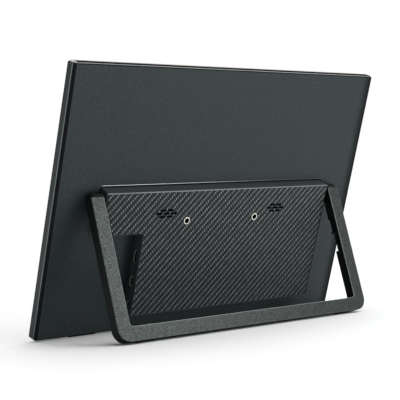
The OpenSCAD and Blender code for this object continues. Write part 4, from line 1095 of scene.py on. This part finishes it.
def add_contact(shape, front_x_mm, face_y_mm, proud_mm, middle_z_mm, half_mm):
    """Adds a contact to a bmesh: a thin block that stands proud of its tongue's face."""
    top_y_mm = face_y_mm + proud_mm
    made = []
    for x_mm in (CONTACT_BACK_X_MM, front_x_mm):
        for y_mm in (min(face_y_mm, top_y_mm), max(face_y_mm, top_y_mm)):
            for z_mm in (middle_z_mm - half_mm, middle_z_mm + half_mm):
                made.append(shape.verts.new(leaned(x_mm, y_mm, z_mm)))
    for face in ((0, 1, 3, 2), (4, 6, 7, 5), (0, 4, 5, 1), (2, 3, 7, 6), (0, 2, 6, 4), (1, 5, 7, 3)):
        shape.faces.new([made[index] for index in face])


def contact_mesh(name):
    """The sprung contacts on both faces of the three sockets' tongues."""
    shape = bmesh.new()
    count, pitch, half, tongue, proud = OVAL_CONTACTS_MM
    for socket_z in OVAL_Z_MM:
        for number in range(count):
            middle = socket_z + (number - (count - 1) / 2) * pitch
            front = LONG_CONTACT_X_MM if number in LONG_CONTACTS else SHORT_CONTACT_X_MM
            for side in (-1, 1):
                add_contact(shape, front, OVAL_Y_MM + side * tongue, side * proud, middle, half)
    count, pitch, half, tongue, proud = VIDEO_CONTACTS_MM
    for number in range(count):
        middle = VIDEO_Z_MM + (number - (count - 1) / 2) * pitch
        for side, shift in ((-1, VIDEO_SHIFT_MM), (1, 0.0)):
            face = VIDEO_Y_MM + side * tongue
            add_contact(shape, VIDEO_CONTACT_X_MM, face, side * proud, middle + shift, half)
    return filled(name, shape)


def cover_finish(normal, middle):
    """1 on the cover's edge and in the groove round the housing, black for painted shade, 2 on its top edge, with
    a painted highlight, else 0.
    """
    half_width, half_height = SLAB_MM[0] / 2, SLAB_MM[1] / 2
    beyond_end = abs(middle.x) > half_width - EDGE_BAND_MM
    outside = beyond_end or abs(middle.z - half_height) > half_height - EDGE_BAND_MM
    about = GROOVE_MM + 0.2
    in_groove = (
        GROOVE_FLOOR_MM < middle.y < -0.05
        and FOOT_LOW_MM - about < middle.z < FOOT_HIGH_MM + about
        and abs(middle.x) < FOOT_HALF_MM + about
    )
    if outside and normal.y < 0.9 and normal.z > 0.3:
        return 2
    return int(in_groove or (outside and normal.y < 0.9))


def frame_finish(normal, middle):
    """1 on the frame's top and bottom walls and most of its arrises, which take painted shade, 2 on its arris
    facing +x, which takes a painted highlight, else 0.
    """
    if 0.35 < abs(normal.y) < 0.9:
        return 2 if normal.x > 0.3 else 1
    return int(abs(normal.z) > 0.7 and middle.y < FRAME_DEPTHS_MM[1] - 0.01)


def housing_finish(normal, middle):
    """2 on the chamfer along the top, with a painted highlight, 3 on the notch's wall and 4 on the top wall, both
    painted lighter, 1 in the slots, painted shade, else 0.
    """
    if normal.z > 0.3 and 0.3 < normal.y < 0.95 and middle.y > CHAMFER_ABOVE_MM:
        return 2
    if normal.x > 0.9 and abs(middle.x - PORT_WALL_X_MM) < 1.5 and middle.z < NOTCH_TOP_MM:
        return 3
    if normal.z > 0.9 and middle.z > FOOT_HIGH_MM - 3.0:
        return 4
    in_grille = GRILLE_X_MM[0] < abs(middle.x) < GRILLE_X_MM[1] and GRILLE_Z_MM[0] < middle.z < GRILLE_Z_MM[1]
    return int(in_grille and middle.y < RECESS_Y_MM + 0.02 and abs(normal.y) < 0.5)


# ---- Operators


def settings():
    """Sizes, colours and studio settings of the scene."""
    return [getattr(bpy.context.scene, name) for name in SETTINGS]


def placed(data, place=(0, 0, 0), turn=(0, 0, 0)):
    """Links a camera or light to the scene at that place and turn."""
    holder = bpy.data.objects.new(data.name, data)
    holder.location = place
    holder.rotation_euler = turn
    bpy.context.scene.collection.objects.link(holder)
    return holder


class MONITOR_OT_studio(Operator):
    """Camera, soft lights, room and pale floor"""

    bl_idname = "monitor.studio"
    bl_label = "Studio"

    def execute(self, context):
        studio = settings()[2]
        scene = context.scene
        lens = bpy.data.cameras.new("Camera")
        lens.lens = CAMERA_LENS_MM
        lens.sensor_width = CAMERA_SENSOR_MM
        turn = Euler([math.radians(angle) for angle in CAMERA_TURN_DEG], "XYZ")
        scene.camera = placed(lens, CAMERA_AT, turn)

        key = bpy.data.lights.new("Key", "AREA")
        key.energy = studio.key
        key.size = KEY_SIZE
        towards = Vector(KEY_AIM) - Vector(KEY_AT)
        placed(key, KEY_AT, towards.to_track_quat("-Z", "Y").to_euler()).visible_camera = False
        sky = bpy.data.lights.new("Sky", "SUN")
        sky.energy = studio.top
        sky.angle = math.radians(SKY_SPREAD_DEG)
        placed(sky, turn=[math.radians(angle) for angle in SKY_TURN_DEG])

        shape = bmesh.new()
        bmesh.ops.create_grid(shape, x_segments=FLOOR_CELLS, y_segments=FLOOR_CELLS, size=FLOOR_HALF)
        mesh = bpy.data.meshes.new("floor")
        shape.to_mesh(mesh)
        shape.free()
        material, place = new_finish("pale_floor", None)
        cloud = noise(place, 0.6)
        pale = shade(cloud, studio.floor, 0.99, 1.01)
        floor = new_piece("floor", mesh, [finished(material, pale, 0.7 + cloud * 0.1, specular=0.2)])

        room = bpy.data.worlds.new("Room")
        room.use_nodes = True
        tree = room.node_tree
        tree.nodes.clear()
        way = Wire(tree.nodes.new("ShaderNodeTexCoord").outputs["Generated"])
        x, y, z = axes(way)
        side = x * BRIGHT_WAY[0] + y * BRIGHT_WAY[1] + z * BRIGHT_WAY[2]
        light = either(smooth(side, -0.4, 0.6), smooth(z, 0.1, 0.02))
        strength = studio.room_dim + light * (studio.room_bright - studio.room_dim)
        white = (1.0, 1.0, 1.0, 1.0)
        ground = way.node("ShaderNodeBackground", {}, {"Color": white, "Strength": strength})
        tree.links.new(ground.socket, tree.nodes.new("ShaderNodeOutputWorld").inputs["Surface"])
        scene.world = room
        scene.view_settings.view_transform = "Standard"
        return {"FINISHED"}


class MONITOR_OT_slab(Operator):
    """Outer frame, rear cover and the feet under them"""

    bl_idname = "monitor.slab"
    bl_label = "Slab"

    def execute(self, context):
        sizes, colours, _ = settings()
        # The second wall finish paints shade on the top and bottom walls, with a highlight at a corner. The third
        # is a four times brighter copy of the frame, a painted highlight on an arris.
        walls = [
            anodised("frame_graphite", colours.frame),
            wall_with_painted_shade("frame_top_painted_shade", (0.21, 0.19, 0.17)),
            anodised("frame_arris", colours.frame, 4.0, 0.28),
        ]
        width = sizes.arris * 0.4
        softened("mid_frame", "slab_frame", "display", walls, width, pick=frame_finish)
        # The second cover finish paints shade in black on the edges and in the groove. The third paints a
        # highlight along the top edge.
        covers = [
            satin_paint("cover_graphite", colours.cover),
            shadow_black("cover_edge_painted_shade", 0.012),
            edge_with_painted_glint("cover_edge_painted_glint", (0.24, 0.26, 0.26)),
        ]
        softened("rear_cover", "cover", "display", covers, 0.0, pick=cover_finish)
        feet = [rubber("foot_rubber")]
        softened("slab_feet", "slab_foot_pads", "display", feet, sizes.moulded_edge)
        return {"FINISHED"}


class MONITOR_OT_screen(Operator):
    """Bezel, glass and the layers behind them"""

    bl_idname = "monitor.screen"
    bl_label = "Screen"

    def execute(self, context):
        sizes, colours, _ = settings()
        # The edge finish is a brighter copy of the bezel: a painted highlight on its broken edges.
        bezel = [
            moulded("bezel_black", colours.bezel, 0.3, 0.5, MATT),
            moulded("bezel_edge_painted_glint", times(colours.bezel, 1.8), 0.3, 0.4),
        ]
        softened("front_bezel", "bezel", "display", bezel, sizes.moulded_edge, 0.15)
        dressed(screen_glass("screen_glass", sizes), "lcd_cell")
        dressed(adhesive_tape("tape_black"), "bezel_tape")
        dressed(optical_film("film_white"), "optical_films")
        dressed(light_guide("guide_clear"), "light_guide")
        dressed(lamp_strip("strip_white"), "led_strip")
        dressed(brushed("tray_aluminium", (0.66, 0.67, 0.68)), "backlight_tray")
        dressed(circuit_board("driver_board"), "panel_driver_board")
        dressed(foam("foam_black", FOAM_GREY), "panel_pads")
        return {"FINISHED"}


class MONITOR_OT_chassis(Operator):
    """Chassis plate and its screws"""

    bl_idname = "monitor.chassis"
    bl_label = "Chassis"

    def execute(self, context):
        dressed(brushed("chassis_aluminium", (0.62, 0.63, 0.64), (8.0, 8.0, 0.03)), "chassis_plate")
        dressed(plated("chassis_screw_steel", SCREW_STEEL), "chassis_screws")
        return {"FINISHED"}


class MONITOR_OT_housing(Operator):
    """Housing, its twill sheet and its screws"""

    bl_idname = "monitor.housing"
    bl_label = "Housing"

    def execute(self, context):
        sizes, colours, _ = settings()
        colour = colours.housing
        # Copies of the housing paint light: black rims and slots for shade, a nine times brighter chamfer for a
        # highlight, and lighter notch and top walls.
        body = moulded("housing_graphite", colour, 0.3, 0.42, MATT, True)
        top = moulded("housing_top", times(colour, 1.8), 0.3, 0.4)
        shadow = shadow_black("slot_painted_shade")
        bright = moulded("housing_edge_painted_glint", times(colour, 9.0), 0.3, 0.32)
        wall = moulded("notch_painted_light", times(colour, 1.5), 0.3, 0.5, MATT)
        finishes = [body, shadow, bright, wall, top, body]
        width = sizes.arris * 0.6
        softened(
            "housing_cover", "housing", "display", finishes, width, 1.2, housing_finish
        )
        trim = new_piece("groove_trim", trim_mesh("trim"), [trim_with_painted_glint("trim_steel", (0.44, 0.46, 0.47))])
        ridden(trim, "display")
        dressed(carbon_twill("twill_sheet", sizes, colours), "patterned_sheet")
        dressed(plated("housing_screw_steel", (0.5, 0.5, 0.51)), "housing_screws")
        return {"FINISHED"}


class MONITOR_OT_inserts(Operator):
    """Threaded inserts for a mounting plate"""

    bl_idname = "monitor.inserts"
    bl_label = "Threaded inserts"

    def execute(self, context):
        mesh = insert_mesh("inserts")
        # The second finish paints shade in black into the threads.
        finishes = [plated("insert_brass", settings()[1].brass, 0.34), shadow_black("thread_painted_shade")]
        piece = ridden(new_piece("threaded_inserts", mesh, finishes), "display")
        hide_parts("mount_inserts")
        return {"FINISHED"}


class MONITOR_OT_sockets(Operator):
    """Sockets in the notch, with their contacts"""

    bl_idname = "monitor.sockets"
    bl_label = "Sockets"

    def execute(self, context):
        steel = socket_shell("socket_steel", (0.78, 0.78, 0.79))
        dressed(steel, "video_port", "oval_port_upper", "oval_port_lower")
        contacts = new_piece("socket_contacts", contact_mesh("contacts"), [contact_gold("contact_gold")])
        ridden(contacts, "display")
        return {"FINISHED"}


class MONITOR_OT_stand(Operator):
    """Stand, its blasted face and its feet"""

    bl_idname = "monitor.stand"
    bl_label = "Stand"

    def execute(self, context):
        sizes, colours, _ = settings()
        # Each edge finish is a brighter copy of its body: a painted highlight on the broken edges.
        black = [
            powder_coat("stand_black", colours.stand_frame),
            powder_coat("stand_black_edge_painted_glint", times(colours.stand_frame, 2.0), 0.4),
        ]
        softened("stand_frame", "stand_body", "stand", black, sizes.arris, 0.24)
        grey = [
            blasted("stand_grey", colours.stand_face),
            blasted("stand_grey_edge_painted_glint", colours.stand_face, 3.0, 0.3),
        ]
        softened("stand_face", "stand_plate", "stand", grey, sizes.arris * 1.6, 0.3)
        feet = [rubber("stand_foot_rubber")]
        softened("stand_feet", "stand_foot_pads", "stand", feet, sizes.moulded_edge, 0.3)
        return {"FINISHED"}


class MONITOR_OT_controls(Operator):
    """Power button, menu rocker and what they press"""

    bl_idname = "monitor.controls"
    bl_label = "Controls"

    def execute(self, context):
        # The edge finish is a lighter copy of the button: a painted highlight on the broken edges.
        keys = [
            moulded("button_black", (0.016, 0.016, 0.017), 0.2, 0.3),
            moulded("button_edge_painted_glint", (0.05, 0.05, 0.052), 0.2, 0.25),
        ]
        width = settings()[0].moulded_edge * 0.6
        softened("power_button", "power_key", "power_button", keys, width, 0.14)
        softened("menu_rocker", "menu_key", "menu_rocker", keys, width, 0.14)
        dressed(plated("pin_steel", (0.6, 0.6, 0.61)), "rocker_pin")
        dressed(circuit_board("key_board"), "button_board")
        dressed(plated("key_screw_steel", SCREW_STEEL), "button_board_screws")
        dressed(flat_cable("key_cable"), "button_cable")
        return {"FINISHED"}


class MONITOR_OT_hinges(Operator):
    """Friction hinges of the stand"""

    bl_idname = "monitor.hinges"
    bl_label = "Hinges"

    def execute(self, context):
        steel = plated("hinge_steel", (0.30, 0.30, 0.31), 0.36)
        dressed(steel, "hinge_bracket_right", "hinge_bracket_left", "hinge_pin_right", "hinge_pin_left")
        bright = plated("washer_steel", (0.58, 0.58, 0.59), 0.28)
        dressed(bright, "friction_washers", "spring_washers", "hinge_nuts", "hinge_screws")
        return {"FINISHED"}


class MONITOR_OT_electronics(Operator):
    """Main board, its parts and its cable"""

    bl_idname = "monitor.electronics"
    bl_label = "Electronics"

    def execute(self, context):
        dressed(circuit_board("main_board"), "main_board")
        dressed(board_parts("chip_black"), "board_components")
        dressed(plated("board_screw_steel", SCREW_STEEL), "board_screws")
        dressed(flat_cable("screen_cable"), "display_cable")
        return {"FINISHED"}


class MONITOR_OT_speakers(Operator):
    """Speakers with their gaskets, pads and leads"""

    bl_idname = "monitor.speakers"
    bl_label = "Speakers"

    def execute(self, context):
        dressed(glossy_mould("speaker_black", (0.008, 0.008, 0.009)), "speaker_right", "speaker_left")
        dressed(speaker_cone("cone_grey"), "speaker_cones")
        dressed(foam("gasket_foam", (0.006, 0.006, 0.006)), "speaker_gaskets")
        dressed(foam("pad_foam", FOAM_GREY), "speaker_pads")
        dressed(wire_pair("lead_red"), "speaker_leads")
        return {"FINISHED"}


STEPS = (
    MONITOR_OT_studio,
    MONITOR_OT_slab,
    MONITOR_OT_screen,
    MONITOR_OT_chassis,
    MONITOR_OT_housing,
    MONITOR_OT_inserts,
    MONITOR_OT_sockets,
    MONITOR_OT_stand,
    MONITOR_OT_controls,
    MONITOR_OT_hinges,
    MONITOR_OT_electronics,
    MONITOR_OT_speakers,
)


class MONITOR_PT_panel(Panel):
    """Steps and settings of the monitor"""

    bl_idname = "MONITOR_PT_panel"
    bl_label = "Portable monitor"
    bl_space_type = "VIEW_3D"
    bl_region_type = "UI"
    bl_category = "Monitor"

    def draw(self, context):
        layout = self.layout
        for step in STEPS:
            layout.operator(step.bl_idname)
        for group in settings():
            box = layout.box()
            for name in group.__annotations__:
                box.prop(group, name)


CLASSES = (*SETTINGS.values(), *STEPS, MONITOR_PT_panel)


def register():
    for item in CLASSES:
        bpy.utils.register_class(item)
    for name, group in SETTINGS.items():
        setattr(bpy.types.Scene, name, PointerProperty(type=group))


def unregister():
    for name in reversed(SETTINGS):
        delattr(bpy.types.Scene, name)
    for item in reversed(CLASSES):
        bpy.utils.unregister_class(item)


def main():
    """Registers the add-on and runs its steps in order."""
    register()
    for step in STEPS:
        group, name = step.bl_idname.split(".")
        getattr(getattr(bpy.ops, group), name)()


if __name__ == "__main__":
    main()
